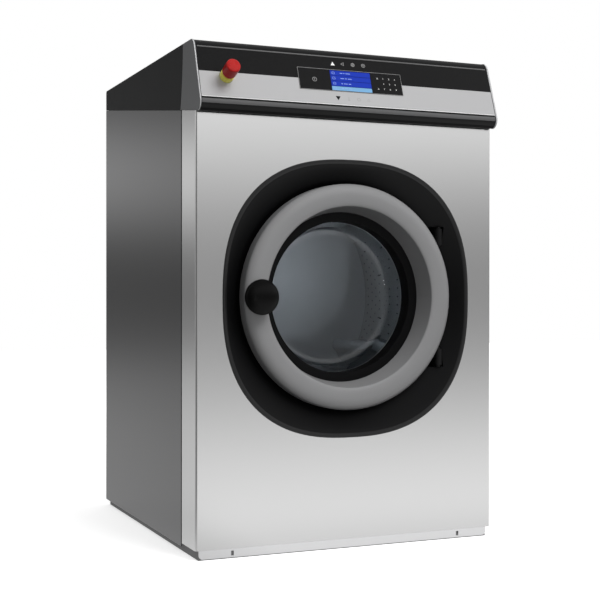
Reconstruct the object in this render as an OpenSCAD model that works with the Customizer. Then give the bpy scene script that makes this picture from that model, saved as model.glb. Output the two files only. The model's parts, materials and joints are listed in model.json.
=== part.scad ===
/* [Cabinet] */
// Width over the side panels
cab_w = 710; // [690:5:740]
// Height from the floor to the flat top
cab_h = 1088; // [1070:2:1120]
// Thickness of the cabinet's steel sheet
sheet = 2; // [1.5:0.25:2.5]
// Depth of the front panel's folded sides
pan_d = 92; // [70:2:94]
// Outside radius of the front panel's folded edges
pan_r = 5; // [3:0.5:8]
// Shadow gap between the front panel and the side panels
shadow_gap = 6; // [3:0.5:8]
// Height of the front panel's lower edge
pan_low = 21.5; // [20.5:0.5:30]
// Height of the side panels' lower edge
side_low = 14; // [8:1:20]
// Drop of the seam under the top cover below the top, at the front panel's face
seam_drop = 153; // [148:1:158]
// Rise of that seam towards the rear, in degrees
seam_tilt = 7.85; // [6:0.05:8.5]
// Width of the flanges folded in from the panels' edges
flange_w = 18; // [12:1:22]
// Open joint between two panels
panel_gap = 1; // [0.5:0.1:1.5]

/* [Base] */
// Height of the base frame
base_h = 20; // [16:1:20]
// Inset of the base frame from the side panels
base_inset = 9; // [6:1:12]
// Width of the base frame's channels
channel_w = 70; // [60:2:80]
// Wall of the base frame's channels
channel_t = 3; // [2:0.5:5]
// Distance between the anchor holes across the machine
anchor_dx = 600; // [590:5:610]
// Distance between the anchor holes front to rear
anchor_dy = 640; // [630:5:650]
// Radius of an anchor hole
anchor_r = 7; // [5:0.5:8]
// Radius of the sleeve round an anchor hole
sleeve_r = 14; // [12:0.5:16]

/* [Console] */
// Lean of the control face from upright, in degrees
face_lean = 19.37; // [17:0.01:21]
// Drop of the control face's lower edge below the top
face_drop = 133.4; // [131:0.2:136]
// Reach of the control face's lower edge in front of the front panel
face_reach = 28.7; // [24:0.1:32]
// Radius of the rounded nose at the top of the face
nose_r = 25; // [15:1:28]
// Radius of the rounded lip under the face
lip_r = 18; // [14:1:19]
// Inset of the console from the side panels' outer faces
con_inset = 4; // [3:0.25:5]
// Wall of the console moulding
con_wall = 3; // [2:0.25:4]
// Depth of the cheeks behind the front panel's face, at the seam
cheek_low = 103; // [100:1:106]
// The same at the flat top
cheek_high = 86; // [80:1:90]
// Bow of the cheeks' rear edge
cheek_bow = 4; // [0:0.5:4]
// Thickness of the films on the face
film_t = 0.8; // [0.5:0.1:1.2]
// Where the silver band starts, measured up the face
silver_low = 7; // [5:0.5:9]
// Where the black band starts
black_low = 66; // [62:0.5:70]
// Where the black band ends
black_high = 122; // [118:0.5:123]
// Width of the display's frame
display_w = 248; // [220:2:260]
// Place of the display's centre across the machine
display_x = -3; // [-10:0.5:10]
// Lower edge of the display's frame, measured up the face
display_low = 40; // [36:0.5:44]
// Height of the display's frame
display_h = 52; // [46:0.5:56]
// Width of the screen
lcd_w = 97; // [80:1:104]
// Height of the screen
lcd_h = 48; // [36:0.5:49]

/* [Emergency stop] */
// Place of the stop button across the machine
stop_x = -291; // [-300:1:-270]
// Place of the stop button up the face
stop_up = 56; // [50:1:60]
// Radius of the yellow collar
collar_r = 15; // [13:0.5:18]
// Height of the yellow collar over the face
collar_h = 12; // [8:0.5:14]
// Radius of the red head
head_r = 15.5; // [13:0.5:18]
// Reach of the red head's tip over the face
head_out = 50; // [44:1:56]
// Travel of the button
stop_travel = 5; // [3:0.5:6]

/* [Door] */
// Height of the door's and the drum's centre line
door_z = 548.7; // [545:0.1:552]
// Outer radius of the door's ring
ring_r = 247; // [243:0.5:249]
// Radius of the crest of the ring
crest_r = 222; // [218:0.5:226]
// Reach of the crest in front of the front panel
crest_out = 12; // [9:0.5:15]
// Inner radius of the ring at its front edge
mouth_r = 197.5; // [195:0.25:200]
// Inner radius of the ring's funnel at its rear edge
funnel_r = 188; // [186:0.25:190]
// Depth of the funnel's rear edge
funnel_d = 45; // [42:0.5:48]
// Wall of the ring moulding
ring_wall = 3.5; // [2.5:0.25:4]
// Radius of the clear glass
glass_r = 168; // [160:1:172]
// Depth of the glass behind the front panel's face
glass_d = 82; // [78:0.5:84]
// Depth of the glass bowl
bowl_d = 62; // [40:1:70]
// Thickness of the glass
glass_t = 6; // [4:0.5:7]
// Outer radius of the door's inner tube
tube_r = 198; // [197:0.25:199]
// Place of the hinge axis to the right of the centre
hinge_x = 227; // [226:0.5:229]
// Depth of the hinge axis
hinge_d = 15; // [14:0.5:16]
// Radius of the hinge pins
hinge_pin_r = 5; // [4:0.25:6]
// Radius of the hinge knuckles
knuckle_r = 8.5; // [7.5:0.25:9]
// Height of one hinge knuckle
knuckle_h = 18; // [16:1:19]
// Distance of each knuckle pair's joint from the door's centre line
knuckle_z = 136; // [135:1:140]

/* [Door surround] */
// Width of the surround
sur_w = 591; // [584:1:600]
// Height of the surround
sur_h = 606; // [600:1:612]
// Squareness of its outline, where 2 is an ellipse
sur_power = 2.5; // [2.4:0.1:3.2]
// Drop of the surround's centre below the door's centre
sur_drop = 3.6; // [0:0.2:6]
// Width of the surround's flat rim
rim_w = 7; // [5:0.5:9]
// Radius of the dish round the ring
dish_r = 253; // [251:0.5:258]
// Depth of the dish's floor
dish_d = 42; // [40:0.5:44]
// Inner radius of the collar behind the dish
throat_r = 207; // [206:0.25:207.5]
// Wall of the surround moulding
sur_wall = 2.5; // [2:0.25:3]

/* [Latch] */
// Place of the knob to the left of the centre
knob_x = 222; // [220:0.5:224]
// Radius of the knob
knob_r = 37.5; // [32:0.5:40]
// Reach of the knob in front of the front panel
knob_out = 55; // [50:1:60]
// Thickness of the knob
knob_t = 30; // [26:1:34]
// Radius of the latch spindle
spindle_r = 5; // [4:0.25:6]
// Length of the latch hook from the spindle's axis
hook_l = 20; // [18:0.5:22]
// Width of the latch hook
hook_w = 8; // [6:0.5:8.5]
// Travel of the lock bolt
bolt_travel = 10; // [8:0.5:12]

/* [Drum and tub] */
// Outer radius of the drum
drum_r = 310; // [300:1:312]
// Inner depth of the drum
drum_d = 440; // [420:2:444]
// Depth of the drum's front wall behind the front panel's face
drum_front = 115; // [114:0.5:118]
// Radius of the drum's mouth
drum_mouth = 190; // [186:1:194]
// Wall of the drum
drum_wall = 2; // [1.5:0.25:3]
// Number of lifters in the drum
lifters = 3; // [2:1:4]
// Height of a lifter
lifter_h = 68; // [50:1:80]
// Width of a lifter's foot
lifter_w = 96; // [80:1:110]
// Inner radius of the outer tub
tub_r = 335; // [332:0.5:336]
// Wall of the outer tub
tub_wall = 3; // [2:0.25:3.5]
// Depth of the tub's front wall
tub_front = 104; // [103:0.5:105]
// Gap between the drum's back and the tub's rear plate
tub_gap = 30; // [28:1:35]
// Depth of the machine behind the drum, for the bearings, pulley and belt
drive_depth = 197; // [193:1:210]
// Radius of the drum shaft
shaft_r = 22.5; // [20:0.5:25]
// Outer radius of the drum bearings
bearing_r = 42.5; // [38:0.5:46]
// Width of a drum bearing
bearing_w = 19; // [16:1:24]
// Length of the bearing housing
housing_l = 96; // [90:1:98]

/* [Drive] */
// Radius of the drum pulley
drum_pulley_r = 180; // [160:2:190]
// Radius of the motor pulley
motor_pulley_r = 36; // [30:1:40]
// Width of the pulleys
pulley_w = 30; // [26:1:32]
// Depth of the pulleys' front faces
pulley_front = 698; // [696:1:702]
// Thickness of the belt
belt_t = 5; // [4:0.5:6]
// Place of the motor to the left of the centre
motor_x = 140; // [130:2:160]
// Height of the motor's axis
motor_z = 112; // [110:1:120]
// Radius of the motor
motor_r = 78; // [70:1:80]
// Length of the motor
motor_l = 210; // [180:2:220]
// Radius of the motor's shaft
motor_shaft_r = 12; // [10:0.5:14]

/* [Water and drain] */
// Radius of the drain outlet, outside
drain_r = 38; // [34:1:40]
// Height of the drain's axis
drain_z = 90; // [84:1:96]
// Radius of the drain valve's ball
ball_r = 38; // [36:1:39]
// Radius of the water inlets' threaded ends, outside
inlet_r = 13.2; // [12:0.1:14]
// Length of the water inlets' threaded ends
inlet_l = 18; // [14:1:22]
// Radius of the vent pipe, outside
vent_r = 25; // [20:1:28]
// Width of the soap box
soap_w = 276; // [240:2:290]
// Length of the soap box front to rear
soap_l = 166; // [140:2:180]
// Wall of the soap box
soap_wall = 3; // [2:0.25:4]
// Number of compartments in the soap box
soap_cells = 3; // [2:1:4]

/* [Hidden] */
$fn = 96;
// Clearance between two pieces that don't touch
clear = 0.3;
// Radial clearance of a pin or shaft that turns in its bore
running = 0.05;
// Overlap that joins two shapes of one piece, and run-out of a cut
bite = 1;
cab_d = drum_front + drum_d + drive_depth;
tub_back = drum_front + drum_d + tub_gap;
seam_z = cab_h - seam_drop;
face_z = cab_h - face_drop;
front_y = -cab_d / 2;
rear_y = cab_d / 2;
side_x = cab_w / 2;
side_front = front_y + pan_d + shadow_gap;
con_half = side_x - con_inset;
face_y = front_y - face_reach;
sur_z = door_z - sur_drop;
tub_out = tub_r + tub_wall;
hinge_y = front_y + hinge_d;
latch_low = -11;
latch_high = hook_l + 4;
slot_x = [-knob_x - 12, -knob_x + 11.5];
bolt_gap = 4;
hook_back = 56;
hook_t = 6;
housing_back = tub_back + 6 + housing_l;
soap_y = front_y + 148;
soap_floor = cab_h - 98;
lid_t = 2.5;
steel_black = "#26282a";
steel_dark = "#6c6e70";
steel_light = "#b9bbbc";
plastic_black = "#17181a";
plastic_grey = "#7d7f82";

// Height of the seam at a place front to rear
function seam_at(y) = seam_z + (y - front_y) * tan(seam_tilt);
// Points of an arc from one angle to another
function arc(centre, r, from, to, steps = 12) =
    [for (i = [0:steps]) let (a = from + (to - from) * i / steps) centre + r * [cos(a), sin(a)]];
// Rear edge of the cheeks, from just over the seam up to the flat top
function cheek_edge(shift, steps = 10) =
    [for (i = [1:steps])
        let (t = i / steps, z = seam_at(front_y + cheek_low) * (1 - t) + cab_h * t)
        [front_y + cheek_low + (cheek_high - cheek_low) * t - 4 * cheek_bow * t * (1 - t) + shift, z]];
// A box given by two corners
module slab(low, high) translate(low) cube(high - low);
// A cylinder that runs towards the rear
module rod_y(x, y, z, r, l) translate([x, y, z]) rotate([-90, 0, 0]) cylinder(r = r, h = l);
// A cylinder that runs across the machine
module rod_x(x, y, z, r, l) translate([x, y, z]) rotate([0, 90, 0]) cylinder(r = r, h = l);
// A profile of radius and depth turned round the door's axis
module round_door() translate([0, front_y, door_z]) rotate([-90, 0, 0]) rotate_extrude($fn = 180) children();
// A profile in depth and height drawn out across the machine
module across(x0, x1) translate([x0, 0, 0]) rotate([90, 0, 90]) linear_extrude(height = x1 - x0) children();
// A quarter of a round pipe's bend, upright and front to rear, from the given angle on
module quarter_bend(from, bend, r)
    rotate([90, 0, 90]) rotate([0, 0, from]) rotate_extrude(angle = 90) translate([bend, 0]) circle(r = r);
// A place on the control face: across, up the face and out from it
module on_face(x, up, out = 0)
    translate([0, face_y, face_z]) rotate([-face_lean, 0, 0]) translate([x, -out, up]) children();
// A rectangular ring with walls of one width
module ring_slab(half_x, half_y, width, z0, z1) difference() {
    slab([-half_x, -half_y, z0], [half_x, half_y, z1]);
    slab([-half_x + width, -half_y + width, z0 - bite], [half_x - width, half_y - width, z1 + bite]);
}
// Everything above the seam, moved up or down by a gap
module above_seam(shift) across(-cab_w, cab_w)
    polygon([[front_y - 60, seam_at(front_y - 60) + shift], [rear_y + 60, seam_at(rear_y + 60) + shift],
        [rear_y + 60, cab_h + 200], [front_y - 60, cab_h + 200]]);

// Base frame: a ring of downward channels, two cross channels and four anchor sleeves
frame_x = side_x - base_inset;
frame_y = rear_y - base_inset + 2;
cradle_d = [193, 423];
cradle_t = 6;
module cross_channel(y, width) difference() {
    slab([-frame_x + channel_w - bite, y - width / 2, 0], [frame_x - channel_w + bite, y + width / 2, base_h]);
    slab([-frame_x, y - width / 2 + channel_t, -bite], [frame_x, y + width / 2 - channel_t, base_h - channel_t]);
}
module anchor_places() for (x = [-1, 1], y = [-1, 1]) translate([x * anchor_dx / 2, y * anchor_dy / 2, 0]) children();
module base_frame() color(steel_dark) difference() {
    union() {
        difference() {
            ring_slab(frame_x, frame_y, channel_w, 0, base_h);
            ring_slab(frame_x - channel_t, frame_y - channel_t, channel_w - 2 * channel_t, -bite, base_h - channel_t);
        }
        for (d = cradle_d) cross_channel(front_y + d, channel_w - 10);
        anchor_places() cylinder(r = sleeve_r, h = base_h);
    }
    anchor_places() translate([0, 0, -bite]) cylinder(r = anchor_r, h = base_h + 2 * bite);
}

// Plinth strip: plate with rounded lower corners and two slots, in front of the base frame
strip_low = 2;
strip_r = 9;
strip_slot_x = 271.5;
module plinth_strip() color(steel_light)
    translate([0, -frame_y - clear, 0]) rotate([90, 0, 0]) linear_extrude(height = sheet) difference() {
        union() {
            translate([-frame_x, strip_low + strip_r]) square([2 * frame_x, pan_low - strip_low - strip_r - clear]);
            translate([-frame_x + strip_r, strip_low]) square([2 * (frame_x - strip_r), pan_low - strip_low - clear]);
            for (s = [-1, 1]) translate([s * (frame_x - strip_r), strip_low + strip_r]) circle(r = strip_r);
        }
        for (s = [-1, 1]) translate([s * strip_slot_x - 3, 6]) square([6, 10]);
    }

// Side panels: sheet cut on the sloping seam, with flanges at the front and the rear
module side_panel() color(steel_dark) difference() {
    union() {
        slab([side_x - sheet, side_front, side_low], [side_x, rear_y, cab_h]);
        slab([side_x - flange_w, side_front, base_h + clear], [side_x, side_front + sheet, cab_h]);
        slab([side_x - flange_w, rear_y - 3 * sheet, base_h + clear], [side_x, rear_y - 2 * sheet, cab_h]);
    }
    above_seam(-panel_gap / 2);
}
module side_panel_left() mirror([1, 0, 0]) side_panel();
module side_panel_right() side_panel();

// Front panel: folded pan with an opening of the surround's outline
module pan_outline(half, front, back, r) {
    translate([-half + r, front]) square([2 * (half - r), back - front]);
    translate([-half, front + r]) square([2 * half, back - front - r]);
    for (s = [-1, 1]) translate([s * (half - r), front + r]) circle(r = r);
}
// Outline of the surround: a square with swelled sides and round corners
squircle_steps = 96;
function squircle(half_w, half_h, power) =
    [for (i = [0:squircle_steps - 1])
        let (a = 360 * i / squircle_steps, c = cos(a), s = sin(a))
        [sign(c) * half_w * pow(abs(c), 2 / power), sign(s) * half_h * pow(abs(s), 2 / power)]];
module front_panel() color(steel_light) difference() {
    translate([0, 0, pan_low]) linear_extrude(height = cab_h - pan_low)
        pan_outline(side_x, front_y, front_y + pan_d, pan_r);
    translate([0, 0, pan_low + sheet]) linear_extrude(height = cab_h)
        pan_outline(side_x - sheet, front_y + sheet, front_y + pan_d - sheet, pan_r - sheet);
    slab([-side_x + flange_w, front_y + sheet, pan_low + sheet], [side_x - flange_w, front_y + pan_d + bite, cab_h]);
    slab([-side_x + flange_w, front_y + 30, 0], [side_x - flange_w, front_y + pan_d + bite, cab_h]);
    slab([-con_half, front_y - bite, face_z - 22], [con_half, front_y + pan_r + bite, cab_h]);
    translate([0, front_y - bite, sur_z]) rotate([-90, 0, 0]) linear_extrude(height = 12)
        polygon(squircle(sur_w / 2 - rim_w + clear, sur_h / 2 - rim_w + clear, sur_power));
    above_seam(0);
}

// Door surround: outline swept into a round dish and its floor, and the collar inside it
// Each section is half width, half height, squareness, depth and height of its centre
function surround_sections(t) = [
    [sur_w / 2, sur_h / 2, sur_power, 0, 0],
    [sur_w / 2 - 0.6, sur_h / 2 - 0.6, sur_power, -1.6, 0],
    [sur_w / 2 - rim_w * 0.6, sur_h / 2 - rim_w * 0.6, sur_power, -2.2, 0],
    [sur_w / 2 - rim_w - t, sur_h / 2 - rim_w - t, sur_power, 0.5, 0.05],
    [sur_w / 2 - rim_w * 2, sur_h / 2 - rim_w * 2.4, sur_power * 0.96, 5, 0.2],
    [dish_r + 17, dish_r + 19, 2.2, 17, 0.6],
    [dish_r + 5, dish_r + 5, 2.05, 28, 0.9],
    [dish_r - 3, dish_r - 3, 2, 37, 1],
    [dish_r - 12, dish_r - 12, 2, dish_d, 1],
    [throat_r + t + clear, throat_r + t + clear, 2, dish_d, 1],
    [throat_r + t + clear, throat_r + t + clear, 2, dish_d + t, 1],
    [dish_r - 11, dish_r - 11, 2, dish_d + t, 1],
    [dish_r - 0.4, dish_r - 0.4, 2, 37 + t, 1],
    [dish_r + 7.4, dish_r + 7.4, 2.05, 28 + t, 0.9],
    [dish_r + 19, dish_r + 21, 2.2, 17 + t, 0.6],
    [sur_w / 2 - rim_w * 2 + t / 2, sur_h / 2 - rim_w * 2.4 + t, sur_power * 0.96, 5 + t, 0.2],
    [sur_w / 2 - rim_w, sur_h / 2 - rim_w, sur_power, 2, 0.05],
    [sur_w / 2 - rim_w, sur_h / 2 - rim_w, sur_power, 0, 0]];
module surround_skin() {
    sections = surround_sections(sur_wall);
    n = squircle_steps;
    count = len(sections);
    points = [for (k = sections) for (p = squircle(k[0], k[1], k[2])) [p[0], front_y + k[3], sur_z + sur_drop * k[4] + p[1]]];
    polyhedron(points = points, faces = [for (k = [0:count - 1], i = [0:n - 1])
        let (a = k * n, b = ((k + 1) % count) * n, j = (i + 1) % n)
        each [[a + i, b + j, a + j], [a + i, b + i, b + j]]]);
}
// Windows in the dish where the hinge and the latch hook reach through
window_in = 22;
window_out = 12;
window_half = knuckle_h + 5;
module surround_windows() {
    for (s = [-1, 1]) translate([0, 0, door_z + s * knuckle_z]) slab([hinge_x - window_in, front_y - 20, -window_half],
        [hinge_x + window_out, front_y + 60, window_half]);
    slab([slot_x[0] - 7, front_y + 30, door_z + latch_low - 13], [slot_x[1] + 5, front_y + 60, door_z + latch_high + 8]);
}
module door_surround() color(plastic_black) difference() {
    surround_skin();
    surround_windows();
}
module surround_collar() color(plastic_black) round_door() polygon([[throat_r + 1, dish_d], [throat_r + sur_wall, dish_d],
    [throat_r + sur_wall, tub_front - 14], [throat_r, tub_front - 14], [throat_r, dish_d + 1.5]]);

// Top cover: wedge-shaped shell over the sloping seam, with a cut-out for the soap lid
lid_gap = 2;
cover_r = 4;
module cover_profile(inset, drop) polygon(concat(
    [[front_y + cheek_low + panel_gap + inset, seam_at(front_y + cheek_low) - drop]],
    [for (p = cheek_edge(panel_gap + inset)) [p[0], min(p[1], cab_h - inset)]],
    [[rear_y - cover_r - inset, cab_h - inset], [rear_y - inset, cab_h - cover_r - inset],
        [rear_y - inset, seam_at(rear_y) - drop]]));
module top_cover() color(steel_black) difference() {
    across(-side_x, side_x) cover_profile(0, 0);
    across(-side_x + sheet, side_x - sheet) cover_profile(sheet, 2 * sheet);
    slab([-soap_w / 2 - 1, soap_y - lid_gap, cab_h - 2 * sheet], [soap_w / 2 + 1, lid_hinge_y + 6, cab_h + bite]);
    slab([-soap_w / 2 - 10, lid_hinge_y - 19, cab_h - 2 * sheet], [soap_w / 2 + 10, lid_hinge_y + 6, cab_h + bite]);
}

// Console: outline of the lip, the leaning face and the rounded nose
lip_z = face_z - 2.6;
nose_y = face_y + (cab_h - nose_r - face_z) * tan(face_lean) + nose_r / cos(face_lean);
lip_y = face_y + lip_r;
function console_front(grow) = concat(
    arc([lip_y, lip_z], lip_r + grow, 270, 180),
    [[face_y - grow, face_z + grow * tan(face_lean / 2)]],
    arc([nose_y, cab_h - nose_r], nose_r + grow, 180 - face_lean, 90));
module console_profile(inset, back) polygon(concat(
    console_front(-inset),
    [[front_y + cheek_high + back, cab_h - inset], [front_y + cheek_high + back, lip_z - lip_r + inset]]));
module console_shell() color(plastic_black) difference() {
    across(-con_half, con_half) console_profile(0, 0);
    across(-con_half + con_wall, con_half - con_wall) console_profile(con_wall, bite);
    on_face(display_x, display_low + display_h / 2) slab([-lcd_w / 2, -bite, -lcd_h / 2], [lcd_w / 2, 2 * con_wall, lcd_h / 2]);
    on_face(stop_x, stop_up, -2 * con_wall) rotate([90, 0, 0]) cylinder(r = barrel_r + clear, h = 4 * con_wall);
}

// Console cheeks: steel ends whose front edge is rolled over the moulding
cheek_roll = 3;
module cheek_profile(inset) polygon(concat(
    [for (p = console_front(1 - inset)) [p[0], min(p[1], cab_h)]],
    [for (i = [10:-1:1]) cheek_edge(-inset)[i - 1]],
    [[front_y + cheek_low - inset, seam_at(front_y + cheek_low) + panel_gap / 2],
        [front_y, seam_at(front_y) + panel_gap / 2]]));
module console_cheeks() color(steel_dark) for (side = [0, 1]) mirror([side, 0, 0]) {
    across(side_x - sheet, side_x) cheek_profile(0);
    across(con_half + clear, side_x - bite) difference() {
        cheek_profile(0);
        translate([cheek_roll + 1, 0]) cheek_profile(0);
    }
}

// Films on the control face, cut round the display
module face_film(low, high, half, thick) on_face(0, 0) slab([-half, -thick, low], [half, 0, high]);
module display_hole() on_face(display_x, display_low, bite) slab([-display_w / 2 - 0.2, -bite, -0.2],
    [display_w / 2 + 0.2, 3 * bite, display_h + 0.2]);
module collar_hole() on_face(stop_x, stop_up, -bite) rotate([90, 0, 0]) cylinder(r = collar_r + 0.4, h = 3 * bite);
module fascia_silver_band() color(steel_light) difference() {
    face_film(silver_low, black_low - 0.1, con_half - 0.5, film_t);
    display_hole();
    collar_hole();
}
module fascia_black_band() color(plastic_black) difference() {
    face_film(black_low, black_high, con_half - 0.5, film_t);
    display_hole();
    collar_hole();
}

// Display: frame with the screen's opening, the screen and the board behind the face
frame_out = 1.6;
lcd_inset = 1;
module display_frame() color(plastic_black) difference() {
    on_face(display_x, display_low) slab([-display_w / 2, -frame_out, 0], [display_w / 2, 0, display_h]);
    on_face(display_x, display_low + display_h / 2, lcd_inset)
        slab([-lcd_w / 2, -bite, -lcd_h / 2], [lcd_w / 2, 3 * bite, lcd_h / 2]);
}
module lcd_window() color("#3a55a8") on_face(display_x, display_low + display_h / 2)
    slab([-lcd_w / 2 + 0.1, -lcd_inset, -lcd_h / 2 + 0.1], [lcd_w / 2 - 0.1, con_wall + 2, lcd_h / 2 - 0.1]);
board_w = 230;
board_h = 90;
board_depth = 14;
module control_board() color("#2f6b45") on_face(display_x, display_low + display_h / 2) {
    slab([-board_w / 2, board_depth, -board_h / 2], [board_w / 2, board_depth + 2, board_h / 2]);
    for (x = [-1, 1], z = [-1, 1]) translate([x * (board_w / 2 - 8), con_wall, z * (board_h / 2 - 8)])
        rotate([-90, 0, 0]) cylinder(r = 4, h = board_depth - con_wall + 1);
    slab([-60, board_depth + 1, -24], [40, board_depth + 14, 20]);
    slab([60, board_depth + 1, -30], [100, board_depth + 18, 24]);
}

// Emergency stop: collar and barrel in the face, contact block behind, stem and mushroom head
barrel_r = 11;
barrel_l = 22;
stem_r = 5;
module estop_collar() color("#c9a92c") on_face(stop_x, stop_up) rotate([90, 0, 0]) difference() {
    union() {
        cylinder(r = collar_r, h = collar_h - 2);
        cylinder(r1 = collar_r, r2 = collar_r - 2, h = collar_h);
        translate([0, 0, -barrel_l]) cylinder(r = barrel_r, h = barrel_l + bite);
    }
    translate([0, 0, -barrel_l - bite]) cylinder(r = stem_r + running, h = barrel_l + collar_h + 3 * bite);
}
module estop_contact_block() color(plastic_black) on_face(stop_x, stop_up) difference() {
    slab([-16, barrel_l, -18], [16, barrel_l + 32, 18]);
    rotate([-90, 0, 0]) cylinder(r = stem_r + 1, h = barrel_l + 6 + stop_travel);
}
head_low = collar_h + stop_travel + 1;
module estop_plunger() color("#9a9c9e") on_face(stop_x, stop_up) rotate([90, 0, 0])
    translate([0, 0, -barrel_l - 4]) cylinder(r = stem_r, h = barrel_l + 4 + head_out - 8);
module estop_head() color("#b5322c") on_face(stop_x, stop_up) rotate([90, 0, 0]) difference() {
    rotate_extrude() polygon(concat([[0, head_low], [head_r - 2.5, head_low]],
        arc([head_r - 1.5, head_low + 1.5], 1.5, -60, 0, 3),
        arc([head_r - 4, head_out - 5], 4, 0, 70, 6), [[0, head_out]]));
    translate([0, 0, head_low - bite]) cylinder(r = stem_r + running, h = head_out - head_low - 8 + bite + running);
}

// Soap box: hopper with dividers under the top cover, ears for the lid's pins
lid_hinge_y = soap_y + soap_l + lid_t + 0.5;
lid_hinge_z = cab_h - lid_t;
lid_pin_r = 1.5;
soap_rim = cab_h - lid_t - clear;
soap_outlet_x = -60;
function cell_x(i) = -soap_w / 2 + soap_wall / 2 + (soap_w - soap_wall) * i / soap_cells;
module soap_box() color(plastic_grey) difference() {
    union() {
        difference() {
            slab([-soap_w / 2, soap_y, soap_floor], [soap_w / 2, soap_y + soap_l, soap_rim]);
            for (i = [0:soap_cells - 1]) slab([cell_x(i) + soap_wall / 2, soap_y + soap_wall, soap_floor + soap_wall],
                [cell_x(i + 1) - soap_wall / 2, soap_y + soap_l - soap_wall, cab_h]);
        }
        for (s = [-1, 1]) slab([s * (soap_w / 2 + 5) - 3, soap_y + soap_l - 14, soap_rim - 12], [s * (soap_w / 2 + 5) + 3,
            lid_hinge_y + 4, cab_h - 0.2]);
        for (s = [-1, 1]) slab([s * (soap_w / 2 + 1) - 2, soap_y + soap_l - 14, soap_rim - 12], [s * (soap_w / 2 + 1) + 2,
            soap_y + soap_l, soap_rim - 6]);
        for (s = [-1, 1]) slab([s * (soap_w / 2 + 11) - 11, soap_y + 20, cab_h - sheet - 3],
            [s * (soap_w / 2 + 11) + 11, soap_y + 60, cab_h - sheet]);
    }
    rod_x(-soap_w, lid_hinge_y, lid_hinge_z, lid_pin_r + running, 2 * soap_w);
    for (i = [0:1]) translate([inlet_x(i), soap_y + soap_l - 40, soap_floor - bite]) cylinder(r = hose_r - 3, h = 20);
    translate([soap_outlet_x, front_y + fill_d, soap_floor - bite]) cylinder(r = fill_r - 3, h = 20);
}
module soap_lid() color(plastic_grey) {
    slab([-soap_w / 2 + 0.5, soap_y - 1, cab_h - lid_t], [soap_w / 2 - 0.5, lid_hinge_y, cab_h]);
    rod_x(-soap_w / 2 + 0.5, lid_hinge_y, lid_hinge_z, lid_t, soap_w - 1);
    rod_x(-soap_w / 2 - 7, lid_hinge_y, lid_hinge_z, lid_pin_r, soap_w + 14);
}

// Outer tub: shell, front wall, collar for the gasket, rear flange and three stubs
sump_d = 310;
sump_r = 32;
sump_low = door_z - tub_out - 22;
hose_wall = 3;
hose_r = 9;
fill_r = 22;
fill_d = 230;
vent_x = -150;
vent_d = 540;
vent_z = cab_h - 188;
collar_in = 205;
// Height of the tub's inner wall above a stub's outer edge
function tub_top(x, r) = door_z + sqrt(tub_r * tub_r - pow(abs(x) + r, 2));
module tub_stub(x, d, r, z0, z1) translate([x, front_y + d, z0]) cylinder(r = r, h = z1 - z0);
module outer_tub() color(steel_light) difference() {
    union() {
        round_door() polygon([[tub_r - bite, tub_front], [tub_out, tub_front], [tub_out, tub_back - 4], [tub_out + 10, tub_back - 4],
            [tub_out + 10, tub_back], [tub_r - bite, tub_back]]);
        round_door() polygon([[192, tub_front], [tub_r, tub_front], [tub_r, tub_front + tub_wall], [192, tub_front + tub_wall]]);
        round_door() polygon([[collar_in, tub_front - 10], [collar_in + tub_wall, tub_front - 10],
            [collar_in + tub_wall, tub_front + 1], [collar_in, tub_front + 1]]);
        tub_stub(0, sump_d, sump_r, sump_low, door_z - tub_r + 6);
        tub_stub(soap_outlet_x, fill_d, fill_r, tub_top(soap_outlet_x, fill_r), soap_floor - 80);
        tub_stub(vent_x, vent_d, vent_r, tub_top(vent_x, vent_r), vent_z - vent_bend - clear);
    }
    round_door() polygon([[0, tub_front + tub_wall], [tub_r, tub_front + tub_wall], [tub_r, tub_back + bite], [0, tub_back + bite]]);
    tub_stub(0, sump_d, sump_r - hose_wall, sump_low - bite, door_z - tub_r + 20);
    tub_stub(soap_outlet_x, fill_d, fill_r - hose_wall, tub_top(soap_outlet_x, fill_r) - 10, soap_floor);
    tub_stub(vent_x, vent_d, vent_r - hose_wall, tub_top(vent_x, vent_r) - 10, vent_z);
}

// Rear plate of the tub: disc with ribs, holes for the shaft, the heaters and the probe
plate_t = 6;
heater_at = [-14, 0, 14];
heater_ring = 321;
heater_r = 4;
heater_half = 13;
probe_at = 26;
module at_bottom(angle) translate([0, front_y, door_z]) rotate([0, angle, 0]) translate([0, 0, -heater_ring]) children();
module tub_rear_plate() color(steel_light) difference() {
    union() {
        round_door() polygon([[0, tub_back], [tub_out + 10, tub_back], [tub_out + 10, tub_back + plate_t], [0, tub_back + plate_t]]);
        for (i = [0:7]) translate([0, front_y, door_z]) rotate([0, i * 45 + 22.5, 0])
            slab([110, tub_back + plate_t - bite, -6], [310, tub_back + plate_t + 18, 6]);
    }
    rod_y(0, front_y + tub_back - bite, door_z, shaft_r + 3, plate_t + 2 * bite);
    for (a = heater_at, s = [-1, 1]) at_bottom(a) rod_y(s * heater_half, tub_back - bite, 0, heater_r + 0.1, plate_t + 2 * bite);
    at_bottom(probe_at) rod_y(0, tub_back - bite, 0, heater_r + 0.1, plate_t + 2 * bite);
}
// Heater elements: U-shaped rods along the tub's bottom, each on its own flange
heater_l = 340;
module heater_elements() color(steel_light) for (a = heater_at) at_bottom(a) {
    for (s = [-1, 1]) rod_y(s * heater_half, tub_back - heater_l, 0, heater_r, heater_l + plate_t + 28);
    translate([0, tub_back - heater_l, 0]) rotate([0, 0, 180]) rotate_extrude(angle = 180)
        translate([heater_half, 0]) circle(r = heater_r);
    slab([-heater_half - 9, tub_back + plate_t, -9], [heater_half + 9, tub_back + plate_t + 5, 9]);
}
module temperature_probe() color(steel_light) at_bottom(probe_at) {
    rod_y(0, tub_back - 90, 0, heater_r, 90 + plate_t + 10);
    rod_y(0, tub_back + plate_t, 0, 9, 14);
}

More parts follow.
